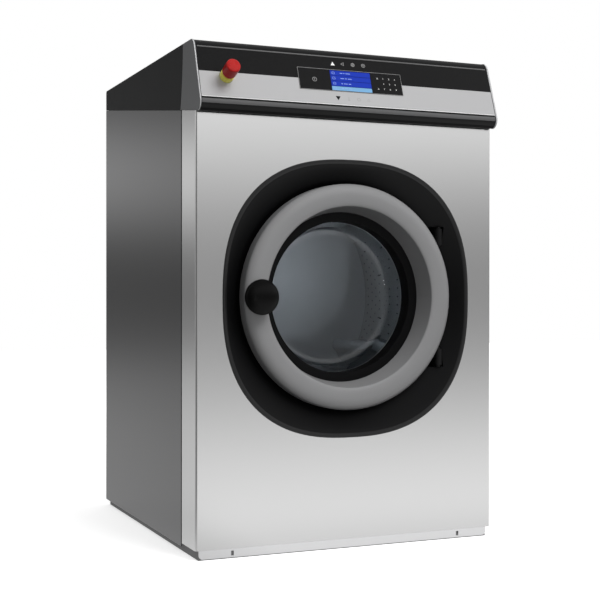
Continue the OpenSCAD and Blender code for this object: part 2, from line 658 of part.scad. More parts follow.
// Tub supports: two upright cradles on the cross channels
cradle_half = 262;
cradle_high = 300;
module tub_supports() color(steel_dark) for (d = cradle_d) difference() {
    slab([-cradle_half, front_y + d - cradle_t / 2, base_h], [cradle_half, front_y + d + cradle_t / 2, cradle_high]);
    rod_y(0, front_y + d - cradle_t, door_z, tub_out + clear, 2 * cradle_t);
    for (x = [-190, -105, 105, 190]) rod_y(x, front_y + d - cradle_t, 100, 32, 2 * cradle_t);
    rod_y(0, front_y + d - cradle_t, drain_z, drain_r + 5, 2 * cradle_t);
}

// Bearing housing with two bearings and a shaft seal
housing_d = tub_back + plate_t;
module bearing_housing() color("#5a5d60") difference() {
    union() {
        round_door() polygon([[bearing_r, housing_d], [96, housing_d], [96, housing_d + 12], [bearing_r + 18, housing_d + 20],
            [bearing_r + 10, housing_d + housing_l], [bearing_r, housing_d + housing_l]]);
        for (i = [0:5]) translate([0, front_y, door_z]) rotate([0, i * 60, 0])
            rotate([0, -90, 0]) translate([0, 0, -4]) linear_extrude(height = 8)
            polygon([[bearing_r + 6, housing_d + 10], [88, housing_d + 10], [bearing_r + 9, housing_d + housing_l - 12],
                [bearing_r + 6, housing_d + housing_l - 12]]);
    }
    rod_y(0, front_y + housing_d - bite, door_z, bearing_r, housing_l + 2 * bite);
}
bearing_d = [housing_d + 10, housing_d + housing_l - bearing_w - 4];
module drum_bearings() color("#9c9ea0") for (d = bearing_d) {
    round_door() polygon([[shaft_r + running, d], [shaft_r + 6, d], [shaft_r + 6, d + bearing_w], [shaft_r + running, d + bearing_w]]);
    round_door() polygon([[bearing_r - 5.5, d], [bearing_r, d], [bearing_r, d + bearing_w], [bearing_r - 5.5, d + bearing_w]]);
    round_door() polygon([[shaft_r + 5, d + 6], [bearing_r - 5, d + 6], [bearing_r - 5, d + bearing_w - 6], [shaft_r + 5, d + bearing_w - 6]]);
}
module shaft_seal() color(plastic_black) round_door() polygon([[shaft_r + clear, housing_d + 1], [bearing_r, housing_d + 1],
    [bearing_r, housing_d + 9], [shaft_r + 3, housing_d + 9], [shaft_r + 3, housing_d + 5], [shaft_r + clear, housing_d + 3]]);

// Drum: shell with a rolled mouth, hollow lifters, and a three-armed spider on the shaft
drum_back = drum_front + drum_d;
module drum_shell() color(steel_light) {
    round_door() polygon([[drum_r - drum_wall, drum_front + 8], [drum_r - 8, drum_front], [drum_r - 5, drum_front], [drum_r, drum_front + 6],
        [drum_r, drum_back], [drum_r - drum_wall, drum_back]]);
    round_door() polygon([[drum_mouth + 4, drum_front], [drum_r - 6, drum_front], [drum_r - 6, drum_front + drum_wall],
        [drum_mouth + 4, drum_front + drum_wall]]);
    round_door() translate([drum_mouth + 4, drum_front + 4]) circle(r = 4, $fn = 48);
    round_door() polygon([[0, drum_back], [drum_r, drum_back], [drum_r, drum_back + drum_wall], [0, drum_back + drum_wall]]);
}
lifter_nose = 16;
module lifter_section(grow) translate([0, -drum_r + drum_wall]) difference() {
    polygon(concat([[-lifter_w / 2 - grow, -bite], [-lifter_nose - grow, lifter_h * 0.72]],
        arc([0, lifter_h - lifter_nose], lifter_nose + grow, 155, 25, 8),
        [[lifter_nose + grow, lifter_h * 0.72], [lifter_w / 2 + grow, -bite]]));
}
module drum_lifters() color(steel_light) translate([0, front_y, door_z]) for (i = [0:lifters - 1])
    rotate([0, 60 - 360 * i / lifters, 0]) rotate([-90, 0, 0]) mirror([0, 1, 0]) difference() {
        translate([0, 0, drum_front + 14]) linear_extrude(height = drum_d - 20) lifter_section(0);
        translate([0, 0, drum_front + 12]) linear_extrude(height = drum_d - 16) difference() {
            translate([-drum_r, -drum_r - 40]) square([2 * drum_r, drum_r]);
            circle(r = drum_r - drum_wall - clear, $fn = 180);
        }
        translate([0, 0, drum_front + 17]) linear_extrude(height = drum_d - 26) lifter_section(-3);
    }
spider_front = drum_back + drum_wall;
spider_t = 16;
shaft_end = 740;
module drum_spider() color("#8f9295") {
    round_door() polygon([[0, spider_front], [54, spider_front], [54, spider_front + spider_t], [shaft_r + 14, spider_front + 24],
        [shaft_r, spider_front + 24], [shaft_r, shaft_end - 14], [12, shaft_end - 14], [12, shaft_end], [0, shaft_end]]);
    for (i = [0:2]) translate([0, front_y + spider_front, door_z]) rotate([0, 120 * i, 0]) rotate([-90, 0, 0])
        linear_extrude(height = spider_t) polygon([[30, -32], [300, -18], [304, -10], [304, 10], [300, 18], [30, 32]]);
}
module drum_pulley() color("#5a5d60") difference() {
    round_door() polygon([[shaft_r, pulley_front - 2], [38, pulley_front - 2], [38, pulley_front + 10], [drum_pulley_r - 12, pulley_front + 10],
        [drum_pulley_r - 8, pulley_front], [drum_pulley_r, pulley_front], [drum_pulley_r, pulley_front + 3],
        [drum_pulley_r - 3, pulley_front + 3], [drum_pulley_r - 3, pulley_front + pulley_w - 3], [drum_pulley_r, pulley_front + pulley_w - 3],
        [drum_pulley_r, pulley_front + pulley_w], [drum_pulley_r - 8, pulley_front + pulley_w],
        [drum_pulley_r - 12, pulley_front + 20], [38, pulley_front + 20], [38, pulley_front + pulley_w - 4],
        [shaft_r, pulley_front + pulley_w - 4]]);
    for (i = [0:4]) translate([0, front_y, door_z]) rotate([0, 72 * i, 0])
        rod_y(103, pulley_front, 0, 38, pulley_w);
}

// Motor, its bracket on the base frame, its rotor with the small pulley, and the belt
motor_front = 462;
bracket_t = 6;
module at_motor(d) translate([-motor_x, front_y + d, motor_z]) children();
module motor_body() color("#54575a") difference() {
    union() {
        at_motor(motor_front) rotate([-90, 0, 0]) cylinder(r = motor_r - 6, h = motor_l);
        for (d = [0, motor_l - 24]) at_motor(motor_front + d) rotate([-90, 0, 0]) cylinder(r = motor_r, h = 24);
        for (i = [0:11]) at_motor(motor_front + 20) rotate([0, 30 * i + 15, 0]) slab([motor_r - 8, 0, -2], [motor_r, motor_l - 40, 2]);
        at_motor(motor_front + 60) slab([-34, 0, motor_r - 12], [34, 70, motor_r + 14]);
        for (s = [-1, 1]) at_motor(motor_front + 30) slab([s * 52 - 14, 0, base_h + bracket_t - motor_z], [s * 52 + 14, motor_l - 60, -48]);
    }
    at_motor(motor_front - bite) rotate([-90, 0, 0]) cylinder(r = motor_shaft_r + running, h = motor_l + 2 * bite);
}
module motor_bracket() color(steel_dark) slab([-motor_x - 100, front_y + 445, base_h], [-motor_x + 96, front_y + 690, base_h + bracket_t]);
module motor_rotor() color("#9c9ea0") {
    at_motor(motor_front + 6) rotate([-90, 0, 0]) cylinder(r = motor_shaft_r, h = pulley_front + pulley_w + 6 - motor_front - 6);
    at_motor(0) rotate([-90, 0, 0]) rotate_extrude() polygon([[motor_shaft_r, pulley_front - 4], [motor_pulley_r, pulley_front - 4],
        [motor_pulley_r, pulley_front + 3], [motor_pulley_r - 3, pulley_front + 3], [motor_pulley_r - 3, pulley_front + pulley_w - 3],
        [motor_pulley_r, pulley_front + pulley_w - 3], [motor_pulley_r, pulley_front + pulley_w], [motor_shaft_r, pulley_front + pulley_w]]);
}
// The belt's outline: two discs and the strip between their outer tangents
belt_dx = -motor_x;
belt_dz = motor_z - door_z;
belt_run = norm([belt_dx, belt_dz]);
belt_aim = atan2(belt_dz, belt_dx);
belt_lean = acos((drum_pulley_r - motor_pulley_r) / belt_run);
module belt_outline(grow) {
    big = drum_pulley_r - 3 + grow;
    small = motor_pulley_r - 3 + grow;
    circle(r = big, $fn = 180);
    translate([belt_dx, belt_dz]) circle(r = small);
    polygon([for (k = [[0, -1], [1, -1], [1, 1], [0, 1]])
        [belt_dx, belt_dz] * k[0] + (k[0] == 0 ? big : small) * [cos(belt_aim + k[1] * belt_lean), sin(belt_aim + k[1] * belt_lean)]]);
}
module v_belt() color(plastic_black) translate([0, front_y + pulley_front + pulley_w - 3 - clear, door_z]) rotate([90, 0, 0])
    linear_extrude(height = pulley_w - 6 - 2 * clear) difference() {
        belt_outline(clear + belt_t);
        belt_outline(clear);
    }

// Drain: rubber hose from the sump, ball valve with its outlet, and the actuator beside it
valve_d = 483;
drain_bore = 28;
stem_out = 70;
outlet_end = cab_d + 44;
outlet_l = 40;
module sump_hose() color(plastic_black) translate([0, front_y + sump_d, 0]) difference() {
    union() {
        translate([0, 0, drain_z + 40]) cylinder(r = sump_r + 5, h = 70);
        for (z = [drain_z + 46, drain_z + 92]) translate([0, 0, z]) cylinder(r = sump_r + 7, h = 9);
    }
    translate([0, 0, drain_z]) cylinder(r = sump_r + clear, h = 200);
}
module drain_valve_body() color("#3b3e41") difference() {
    union() {
        translate([0, front_y + sump_d, drain_z]) cylinder(r = sump_r, h = 62);
        rod_y(0, front_y + sump_d - 40, drain_z, sump_r + 3, valve_d - sump_d + 10);
        rod_y(0, front_y + valve_d - 44, drain_z, ball_r + 9, 88);
        rod_y(0, front_y + valve_d + 40, drain_z, drain_r - 4, outlet_end - valve_d - 50);
        rod_y(0, front_y + outlet_end - outlet_l, drain_z, drain_r, outlet_l);
        rod_x(ball_r, front_y + valve_d, drain_z, 14, 17);
    }
    translate([0, front_y + sump_d, drain_z]) cylinder(r = drain_bore, h = 70);
    rod_y(0, front_y + sump_d - 30, drain_z, drain_bore, outlet_end);
    translate([0, front_y + valve_d, drain_z]) sphere(r = ball_r + clear);
    rod_x(0, front_y + valve_d, drain_z, 6 + running, ball_r + 30);
}
module drain_ball() color("#b9bbbc") {
    difference() {
        translate([0, front_y + valve_d, drain_z]) sphere(r = ball_r);
        rod_y(0, front_y + valve_d - 2 * ball_r, drain_z, drain_bore, 4 * ball_r);
    }
    rod_x(ball_r - 4, front_y + valve_d, drain_z, 6, stem_out - ball_r + 4);
}
module drain_actuator() color(plastic_black) difference() {
    union() {
        slab([ball_r + 17, front_y + valve_d - 36, drain_z - 30], [ball_r + 82, front_y + valve_d + 36, drain_z + 34]);
        translate([ball_r + 50, front_y + valve_d, drain_z + 33]) cylinder(r = 20, h = 26);
    }
    rod_x(ball_r, front_y + valve_d, drain_z, 7, stem_out - ball_r + 2);
}

// Water inlets on the rear panel, their hoses to the soap box and the fill tube to the tub
inlet_z = cab_h - 158;
inlet_bend = 20;
inlet_back = cab_d - 4;
neck_l = 2;
function inlet_x(i) = 70 + 50 * i;
module inlet_valves() for (i = [0:1]) color(i == 0 ? "#3d6fb0" : "#a8483c") translate([inlet_x(i), front_y, inlet_z]) {
    rod_y(0, cab_d + neck_l, 0, inlet_r, inlet_l - neck_l);
    rod_y(0, inlet_back, 0, inlet_r - 0.7, inlet_l);
    rod_y(0, inlet_back - 6, 0, inlet_r + 6, 6 - clear);
    rod_y(0, inlet_back - 7, 0, inlet_r - 0.7, 7 + bite);
    rod_y(0, inlet_back - 48, 0, 15, 42.5);
    rod_y(0, inlet_back - 70, 0, hose_r - 3, 23);
    slab([-15, inlet_back - 46, 12], [15, inlet_back - 14, 46]);
}
module fill_path(wall) {
    for (i = [0:1]) translate([inlet_x(i), soap_y + soap_l - 40, inlet_z]) {
        rod_y(0, inlet_bend, 0, hose_r - wall, front_y + inlet_back - 50 - (soap_y + soap_l - 40) - inlet_bend);
        translate([0, inlet_bend, inlet_bend]) quarter_bend(180, inlet_bend, hose_r - wall);
        translate([0, 0, inlet_bend]) cylinder(r = hose_r - wall, h = soap_floor - inlet_z - inlet_bend);
    }
    translate([soap_outlet_x, front_y + fill_d, soap_floor - 100]) cylinder(r = fill_r + 4 - (wall > 0 ? 3.8 : 0), h = 100);
}
module fill_hoses() color(plastic_black) difference() {
    fill_path(0);
    fill_path(2.8);
    for (i = [0:1]) rod_y(inlet_x(i), front_y + inlet_back - 60, inlet_z, hose_r - 2.8, 30);
    translate([soap_outlet_x, front_y + fill_d, soap_floor - 110]) cylinder(r = fill_r + 0.2, h = 120);
}

// Rear panel with its drive cover, the vent pipe, the cable gland and the pressure switch
cover_half = 235;
cover_z = [180, 790];
rear_in = cab_d - 2 * sheet;
gland_x = -280;
gland_r = 6.5;
module rear_panel() color(steel_dark) difference() {
    slab([-side_x + sheet + clear, front_y + rear_in, side_low + 8], [side_x - sheet - clear, front_y + rear_in + sheet,
        seam_at(rear_y) - panel_gap]);
    slab([-cover_half + 20, front_y, cover_z[0] + 20], [cover_half - 20, rear_y + bite, cover_z[1] - 20]);
    rod_y(0, front_y + rear_in - bite, drain_z, drain_r + 3, 4 * sheet);
    rod_y(vent_x, front_y + rear_in - bite, vent_z, vent_r + 2, 4 * sheet);
    rod_y(gland_x, front_y + rear_in - bite, inlet_z, 10 + clear, 4 * sheet);
    for (i = [0:1]) rod_y(inlet_x(i), front_y + rear_in - bite, inlet_z, inlet_r + 0.5, 4 * sheet);
}
module drive_cover() color(steel_dark) difference() {
    slab([-cover_half, rear_y - sheet, cover_z[0]], [cover_half, rear_y, cover_z[1]]);
    for (i = [-5:5], z = [240, 690]) translate([i * 26, rear_y - 2 * sheet, z]) slab([-4, 0, 0], [4, 3 * sheet, 46]);
}
vent_bend = 34;
module vent_path(wall) translate([vent_x, front_y, vent_z]) {
    translate([0, vent_d + vent_bend, -vent_bend]) quarter_bend(90, vent_bend, vent_r - 1 - wall);
    rod_y(0, vent_d + vent_bend, 0, vent_r - 1 - wall, cab_d - vent_d - vent_bend + 42);
}
module vent_pipe() color(plastic_grey) difference() {
    union() {
        vent_path(0);
        rod_y(vent_x, front_y + cab_d + 6, vent_z, vent_r, 36);
    }
    vent_path(2);
}
module mains_gland() color(plastic_black) difference() {
    union() {
        rod_y(gland_x, front_y + rear_in - 10, inlet_z, 10, 14);
        translate([gland_x, front_y + rear_in - 6, inlet_z]) rotate([-90, 30, 0]) cylinder(r = 15, h = 6 - clear, $fn = 6);
        translate([gland_x, front_y + rear_in + sheet + clear, inlet_z]) rotate([-90, 0, 0]) cylinder(r = 14, h = 6, $fn = 6);
        rod_y(gland_x, front_y + rear_in + sheet + 6, inlet_z, 12, 14);
    }
    rod_y(gland_x, front_y + rear_in - 20, inlet_z, gland_r, 50);
}
module pressure_switch() color(plastic_black) translate([270, front_y + rear_in, vent_z]) {
    slab([-28, -34, -22], [28, -clear, 22]);
    rod_y(0, -44, 0, 20, 12);
    translate([0, -39, -34]) cylinder(r = 3, h = 20);
}

// Gasket at the tub's mouth, pressed by the door's inner frame
seal_d = tub_front - 12;
module door_gasket() color(plastic_black) round_door() polygon(concat([[186, seal_d + clear], [194, seal_d + clear]],
    [[collar_in - clear, seal_d + 4], [collar_in - clear, tub_front], [193, tub_front], [193, seal_d + 6], [186, seal_d + 4]]));

// Door ring: rounded moulding with a skirt and a funnel down to the glass
skirt_d = 30;
shoulder_d = 4;
inner_round = 6;
function ring_outside(w, steps = 10) = [for (i = [0:steps]) let (a = 90 * i / steps)
    [crest_r + (ring_r - crest_r - w) * cos(a), shoulder_d - (crest_out + shoulder_d - w) * sin(a)]];
function ring_inside(w, steps = 8) = [for (i = [1:steps]) let (a = 90 * i / steps)
    [crest_r - (crest_r - mouth_r - w) * sin(a), -crest_out + w + inner_round * (1 - cos(a))]];
function backwards(list) = [for (i = [len(list) - 1:-1:0]) list[i]];
module door_ring() color(plastic_grey) difference() {
    round_door() polygon(concat([[ring_r, skirt_d]], ring_outside(0), ring_inside(0), [[funnel_r, funnel_d],
        [funnel_r + ring_wall, funnel_d]], backwards(ring_inside(ring_wall)), backwards(ring_outside(ring_wall)),
        [[ring_r - ring_wall, skirt_d]]));
    rod_y(-knob_x, front_y - 2 * crest_out, door_z, spindle_r + running, 3 * crest_out);
}
tube_wall = 3.5;
frame_d = 28;
frame_t = 3;
module door_back_frame() color(steel_dark) difference() {
    round_door() polygon([[ring_r - ring_wall - 0.5, frame_d], [ring_r - ring_wall - 0.5, frame_d + frame_t], [tube_r + 5, frame_d + frame_t],
        [tube_r, funnel_d + 3], [tube_r, seal_d], [178, seal_d], [178, seal_d - tube_wall], [tube_r - tube_wall, seal_d - tube_wall],
        [tube_r - tube_wall, funnel_d + 2], [tube_r + 1.5, frame_d]]);
    rod_y(-knob_x, front_y + frame_d - bite, door_z, spindle_r + running, frame_t + 2 * bite);
}
glass_edge = 189.5;
module glass_seal() color(plastic_black) round_door() polygon([[glass_r, funnel_d + clear], [tube_r - tube_wall - clear, funnel_d + clear],
    [tube_r - tube_wall - clear, seal_d - tube_wall - clear], [glass_edge + clear, seal_d - tube_wall - clear],
    [glass_edge + clear, glass_d], [glass_r, glass_d]]);
bowl_foot = glass_r - 3;
bowl_r = (pow(bowl_foot, 2) + pow(bowl_d, 2)) / (2 * bowl_d);
bowl_mid = glass_d + glass_t + bowl_d - bowl_r;
function bowl_arc(r, depth, steps = 16) = [for (i = [0:steps]) let (a = acos((depth - bowl_mid) / r) * i / steps)
    [r * sin(a), bowl_mid + r * cos(a)]];
module door_glass() color("#9fb2b8", 0.5) round_door() polygon(concat(bowl_arc(bowl_r, glass_d + glass_t),
    [[glass_edge, glass_d + glass_t], [glass_edge, glass_d]], backwards(bowl_arc(bowl_r - glass_t, glass_d))));

// Hinge: arms on the door, bracket behind the front panel, and two pins on one upright axis
arm_t = 4.7;
arm_in = 170;
module at_knuckles(low, high) for (s = [-1, 1]) translate([0, 0, door_z + min(s * low, s * high)])
    linear_extrude(height = high - low) children();
module hinge_disc() translate([hinge_x, hinge_y]) circle(r = knuckle_r);
module hinge_bore() translate([hinge_x, hinge_y]) circle(r = hinge_pin_r + running);
module hinge_arms() color(steel_dark) at_knuckles(knuckle_z - knuckle_h - 0.5, knuckle_z - 0.5) difference() {
    union() {
        hinge_disc();
        translate([0, front_y]) polygon([[hinge_x - knuckle_r + 0.2, hinge_d], [hinge_x + 3, hinge_d + knuckle_r - 0.6],
            [hinge_x - 2, frame_d + frame_t + arm_t], [arm_in, frame_d + frame_t + arm_t],
            [arm_in, frame_d + frame_t], [hinge_x - knuckle_r + 0.2, frame_d + frame_t]]);
    }
    hinge_bore();
}
bracket_half = knuckle_z + knuckle_h + 6;
bracket_in = hinge_x - 12;
module hinge_bracket() color(steel_dark) {
    at_knuckles(knuckle_z, knuckle_z + knuckle_h) difference() {
        union() {
            hinge_disc();
            translate([hinge_x - 6, hinge_y]) square([12, dish_d + 7 - hinge_d]);
        }
        hinge_bore();
    }
    translate([0, front_y, door_z - bracket_half]) linear_extrude(height = 2 * bracket_half) polygon([
        [bracket_in, dish_d + 6], [300, dish_d + 6], [300, sheet], [335, sheet], [335, sheet + 4], [304, sheet + 4],
        [304, dish_d + 10], [bracket_in, dish_d + 10]]);
}
module hinge_pins() color("#b9bbbc") at_knuckles(knuckle_z - knuckle_h - 4, knuckle_z + knuckle_h + 4)
    translate([hinge_x, hinge_y]) circle(r = hinge_pin_r);

// Knob, spindle with its hook, lock housing and lock bolt
knob_gap = 0.4;
knob_wide = 15;
module at_knob(d) translate([-knob_x, front_y + d, door_z]) children();
module door_knob() color(plastic_black) at_knob(0) rotate([-90, 0, 0]) rotate_extrude() polygon(concat(
    [[0, -knob_out + 8], [spindle_r, -knob_out + 8], [spindle_r, -crest_out - knob_gap], [16, -crest_out - knob_gap],
        [14, -knob_out + knob_t], [knob_r * 0.8, -knob_out + knob_t]],
    [for (a = [-60:20:0]) [knob_r * (0.8 + 0.2 * cos(a)), -knob_out + knob_wide - (knob_t - knob_wide) * sin(a) * 0.95]],
    [for (a = [10:10:90]) [knob_r * cos(a), -knob_out + knob_wide - knob_wide * sin(a)]]));
module latch_spindle() color("#9c9ea0") {
    at_knob(-knob_out + 8 + clear) rotate([-90, 0, 0]) cylinder(r = spindle_r, h = knob_out - 8 - clear + hook_back);
    at_knob(hook_back - hook_t) slab([-hook_w / 2, 0, -spindle_r], [hook_w / 2, hook_t, hook_l]);
}
lock_d = dish_d + sur_wall + clear;
lock_back = 92;
lock_x = [-knob_x - 40, -knob_x + 11];
lock_half = 45;
bolt_r = 3;
bolt_off = 12;
module door_lock_housing() color(plastic_black) difference() {
    slab([lock_x[0], front_y + lock_d, door_z - lock_half], [lock_x[1], front_y + lock_back, door_z + lock_half]);
    slab([lock_x[0] + 4, front_y + lock_d + 4, door_z - lock_half + 4], [lock_x[1] - 2, front_y + lock_back - 4, door_z + lock_half - 4]);
    slab([slot_x[0], front_y + lock_d - bite, door_z + latch_low], [slot_x[1], front_y + lock_d + 5, door_z + latch_high]);
    rod_y(-knob_x - bolt_off, front_y + lock_back - 5, door_z + bolt_off, bolt_r + running, 6);
}
module lock_bolt() color("#b9bbbc") {
    rod_y(-knob_x - bolt_off, front_y + hook_back + bolt_gap, door_z + bolt_off, bolt_r, 40);
    rod_y(-knob_x - bolt_off, front_y + hook_back + bolt_gap + 12, door_z + bolt_off, bolt_r + 3, 4);
}

base_frame();
plinth_strip();
side_panel_left();
side_panel_right();
front_panel();
door_surround();
top_cover();
console_shell();
console_cheeks();
fascia_silver_band();
fascia_black_band();
display_frame();
lcd_window();
control_board();
estop_collar();
estop_contact_block();
soap_box();
outer_tub();
tub_rear_plate();
door_gasket();
tub_supports();
bearing_housing();
drum_bearings();
shaft_seal();
motor_body();
motor_bracket();
v_belt();
drain_valve_body();
drain_actuator();
sump_hose();
inlet_valves();
fill_hoses();
rear_panel();
drive_cover();
vent_pipe();
mains_gland();
heater_elements();
temperature_probe();
pressure_switch();
hinge_bracket();
hinge_pins();
door_lock_housing();
surround_collar();
drum_shell();
drum_lifters();
drum_spider();
drum_pulley();
motor_rotor();
door_ring();
door_back_frame();
door_glass();
glass_seal();
hinge_arms();
door_knob();
latch_spindle();
lock_bolt();
estop_plunger();
estop_head();
soap_lid();
drain_ball();
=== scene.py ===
"""Looks of a packed industrial washing machine, built round its fixed CAD frame.

Each CAD node keeps its mesh and gets the finish of its real material. What the solids leave out is
made here: printed marks, drum holes, screws, clamps, strips of painted highlight and painted shade, and a
smooth door surround.
All sizes in the classes are in millimetres, in the frame of the CAD source: X to the right, Y to the
rear, Z up, with the front panel's face at Y -376 and the floor at Z 0.
"""

import json
import logging
import math
from dataclasses import dataclass
from enum import Enum
from typing import Sequence

import bmesh
import bpy
from mathutils import Matrix, Vector

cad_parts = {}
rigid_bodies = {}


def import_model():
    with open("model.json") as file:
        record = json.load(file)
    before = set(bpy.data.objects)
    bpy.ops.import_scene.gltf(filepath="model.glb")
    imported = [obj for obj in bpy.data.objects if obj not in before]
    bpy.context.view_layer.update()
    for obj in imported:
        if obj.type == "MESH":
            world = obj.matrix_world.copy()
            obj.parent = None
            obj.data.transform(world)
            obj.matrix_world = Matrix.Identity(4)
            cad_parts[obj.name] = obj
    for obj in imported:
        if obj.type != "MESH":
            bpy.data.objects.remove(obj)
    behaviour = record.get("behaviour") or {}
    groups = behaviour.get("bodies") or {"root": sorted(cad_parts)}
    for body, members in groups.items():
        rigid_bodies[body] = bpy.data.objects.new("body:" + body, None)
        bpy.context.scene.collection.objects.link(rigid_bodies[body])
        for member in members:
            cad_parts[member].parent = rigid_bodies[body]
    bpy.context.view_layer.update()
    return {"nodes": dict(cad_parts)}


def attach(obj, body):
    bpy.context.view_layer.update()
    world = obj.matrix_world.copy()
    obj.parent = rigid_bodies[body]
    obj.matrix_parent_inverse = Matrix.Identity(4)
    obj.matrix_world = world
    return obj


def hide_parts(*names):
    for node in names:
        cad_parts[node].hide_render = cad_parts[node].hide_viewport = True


for leftover in list(bpy.data.objects):
    bpy.data.objects.remove(leftover)
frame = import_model()

MM = 0.001
FRONT_Y = -376.0
REAR_Y = 376.0
DOOR_Z = 548.7
LOG = logging.getLogger("washer")

Point = tuple[float, float, float]
Flat = tuple[float, float]
Range = tuple[float, ...]
Faces = Sequence[Sequence[int]]
Tree = bpy.types.NodeTree
Piece = bpy.types.Object


def linear(code: str) -> tuple[float, float, float, float]:
    """Turns an sRGB hex colour into the linear values that a shader takes.

    Args:
        code: six hex digits, with or without a leading mark.

    Returns:
        Red, green, blue and an alpha of 1.
    """
    parts = [int(code.lstrip("#")[i:i + 2], 16) / 255 for i in (0, 2, 4)]
    red, green, blue = (p / 12.92 if p <= 0.04045 else ((p + 0.055) / 1.055) ** 2.4 for p in parts)
    return red, green, blue, 1.0


def add_node(tree: Tree, kind: str, sockets: dict | None = None, **settings: object) -> bpy.types.Node:
    """Adds one shader node with its settings and what goes into it.

    Args:
        tree: the node tree that takes the node.
        kind: Blender's name for the node's type, without the leading ShaderNode.
        sockets: input socket, by name or number, to a node or output that feeds it, or to its plain value.
        settings: the node's own attributes.

    Returns:
        The new node.
    """
    made = tree.nodes.new("ShaderNode" + kind)
    for key, value in settings.items():
        setattr(made, key, value)
    for key, value in (sockets or {}).items():
        source = value.outputs[0] if isinstance(value, bpy.types.Node) else value
        if isinstance(source, bpy.types.NodeSocket):
            tree.links.new(source, made.inputs[key])
        else:
            made.inputs[key].default_value = source
    return made


def maths(tree: Tree, operation: str, *terms: object) -> bpy.types.Node:
    """Adds a maths node with its terms: nodes, outputs or numbers."""
    return add_node(tree, "Math", dict(enumerate(terms)), operation=operation)


def vector_maths(tree: Tree, operation: str, *terms: object) -> bpy.types.Node:
    """Adds a vector maths node with its terms: nodes, outputs or vectors."""
    return add_node(tree, "VectorMath", dict(enumerate(terms)), operation=operation)


def place_in(tree: Tree) -> object:
    """Gives the output with the point on the object, in metres."""
    return add_node(tree, "TexCoord").outputs["Object"]


def parts_of(tree: Tree, vector: object) -> tuple[object, ...]:
    """Gives the outputs with a vector's X, Y and Z."""
    return tuple(add_node(tree, "SeparateXYZ", {0: vector}).outputs)


def mixed(tree: Tree, share: object, first: object, second: object) -> object:
    """Gives the output of a colour mix: the first at a share of 0, the second at 1."""
    return add_node(tree, "Mix", {0: share, 6: first, 7: second}, data_type="RGBA").outputs[2]


def ranged(tree: Tree, source: object, start: float, end: float, *to: float) -> bpy.types.Node:
    """Maps a range of a value to 0 and 1, or to the two values given; outside it the ends hold."""
    low, high = to or (0.0, 1.0)
    limits = {"From Min": start, "From Max": end, "To Min": low, "To Max": high}
    return add_node(tree, "MapRange", {"Value": source} | limits)


def fresh_tree(holder: bpy.types.ID) -> Tree:
    """Gives the emptied node tree of a new material or world."""
    holder.use_nodes = True
    holder.node_tree.nodes.clear()
    return holder.node_tree


WHITE = linear("#FFFFFF")


class Stroke(Enum):
    """Direction in which a metal surface was brushed or drawn, as the stretch of its grain."""

    ACROSS = (1.0, 40.0, 40.0)
    DEEP = (40.0, 1.0, 40.0)
    UPRIGHT = (40.0, 40.0, 1.0)
    ROUND = (1.0, 1.0, 1.0)


@dataclass(frozen=True)
class Finish:
    """A real material with the surface that its making gave it."""

    name: str
    colour: str
    roughness: float
    metallic: float = 0.0
    ior: float = 1.5
    tone: float = 0.08
    tone_mm: float = 90.0
    spread: float = 0.06
    coat: float = 0.0
    shine: float = 0.5
    worn: str = ""
    edge_mm: float = 0.7
    depth_mm: float = 0.0

    def material(self) -> bpy.types.Material:
        """Gives Blender's material of this finish, made on first use."""
        made = bpy.data.materials.get(self.name)
        if made is None:
            made = bpy.data.materials.new(self.name)
            self.dress(fresh_tree(made))
        return made

    def dress(self, tree: Tree) -> bpy.types.Node:
        """Builds the shader: wandering tone, uneven roughness, worn edges and the surface's relief.

        Args:
            tree: the material's empty node tree.

        Returns:
            The main shader node, for a finish that adds to it.
        """
        place = place_in(tree)
        patches = self.noise(tree, place, self.tone_mm, 3.0)
        base = linear(self.colour)[:3]
        dark = [c * (1 - self.tone) for c in base] + [1.0]
        pale = [min(1.0, c * (1 + self.tone)) for c in base] + [1.0]
        colour = mixed(tree, patches, dark, pale)
        rounded = add_node(tree, "Bevel", {"Radius": self.edge_mm * MM}, samples=4).outputs[0]
        if self.worn:
            flat = add_node(tree, "NewGeometry").outputs["Normal"]
            facing = vector_maths(tree, "DOT_PRODUCT", rounded, flat)
            edge = ranged(tree, facing.outputs["Value"], 0.99, 0.80, 0.0, 0.7)
            colour = mixed(tree, edge, colour, linear(self.worn))
        smooth, rough = max(0.02, self.roughness - self.spread), min(1.0, self.roughness + self.spread)
        shader = add_node(tree, "BsdfPrincipled", {
            "Base Color": colour,
            "Roughness": ranged(tree, patches, 0.0, 1.0, smooth, rough),
            "Normal": self.relief(tree, place, rounded),
            "Metallic": self.metallic,
            "IOR": self.ior,
            "Specular IOR Level": self.shine,
            "Coat Weight": self.coat,
            "Coat Roughness": self.roughness,
        })
        add_node(tree, "OutputMaterial", {"Surface": shader})
        return shader

    def noise(self, tree: Tree, place: object, size_mm: float, detail: float) -> bpy.types.Node:
        """Adds a noise whose patches have a size in millimetres."""
        return add_node(tree, "TexNoise", {"Vector": place, "Scale": 1 / (size_mm * MM), "Detail": detail})

    def bumped(self, tree: Tree, height: object, normal: object, strength: float) -> object:
        """Turns the normal by a height pattern as deep as the finish says."""
        depth = {"Strength": strength, "Distance": self.depth_mm * MM}
        return add_node(tree, "Bump", {"Height": height, "Normal": normal} | depth).outputs[0]

    def relief(self, tree: Tree, place: object, normal: object) -> object:
        """Gives the normal of a surface as it is, or as the finish's own relief turns it.

        Args:
            tree: the material's node tree.
            place: the output that gives the point on the object.
            normal: the normal of the bare surface.

        Returns:
            The output with the normal to shade with.
        """
        return normal


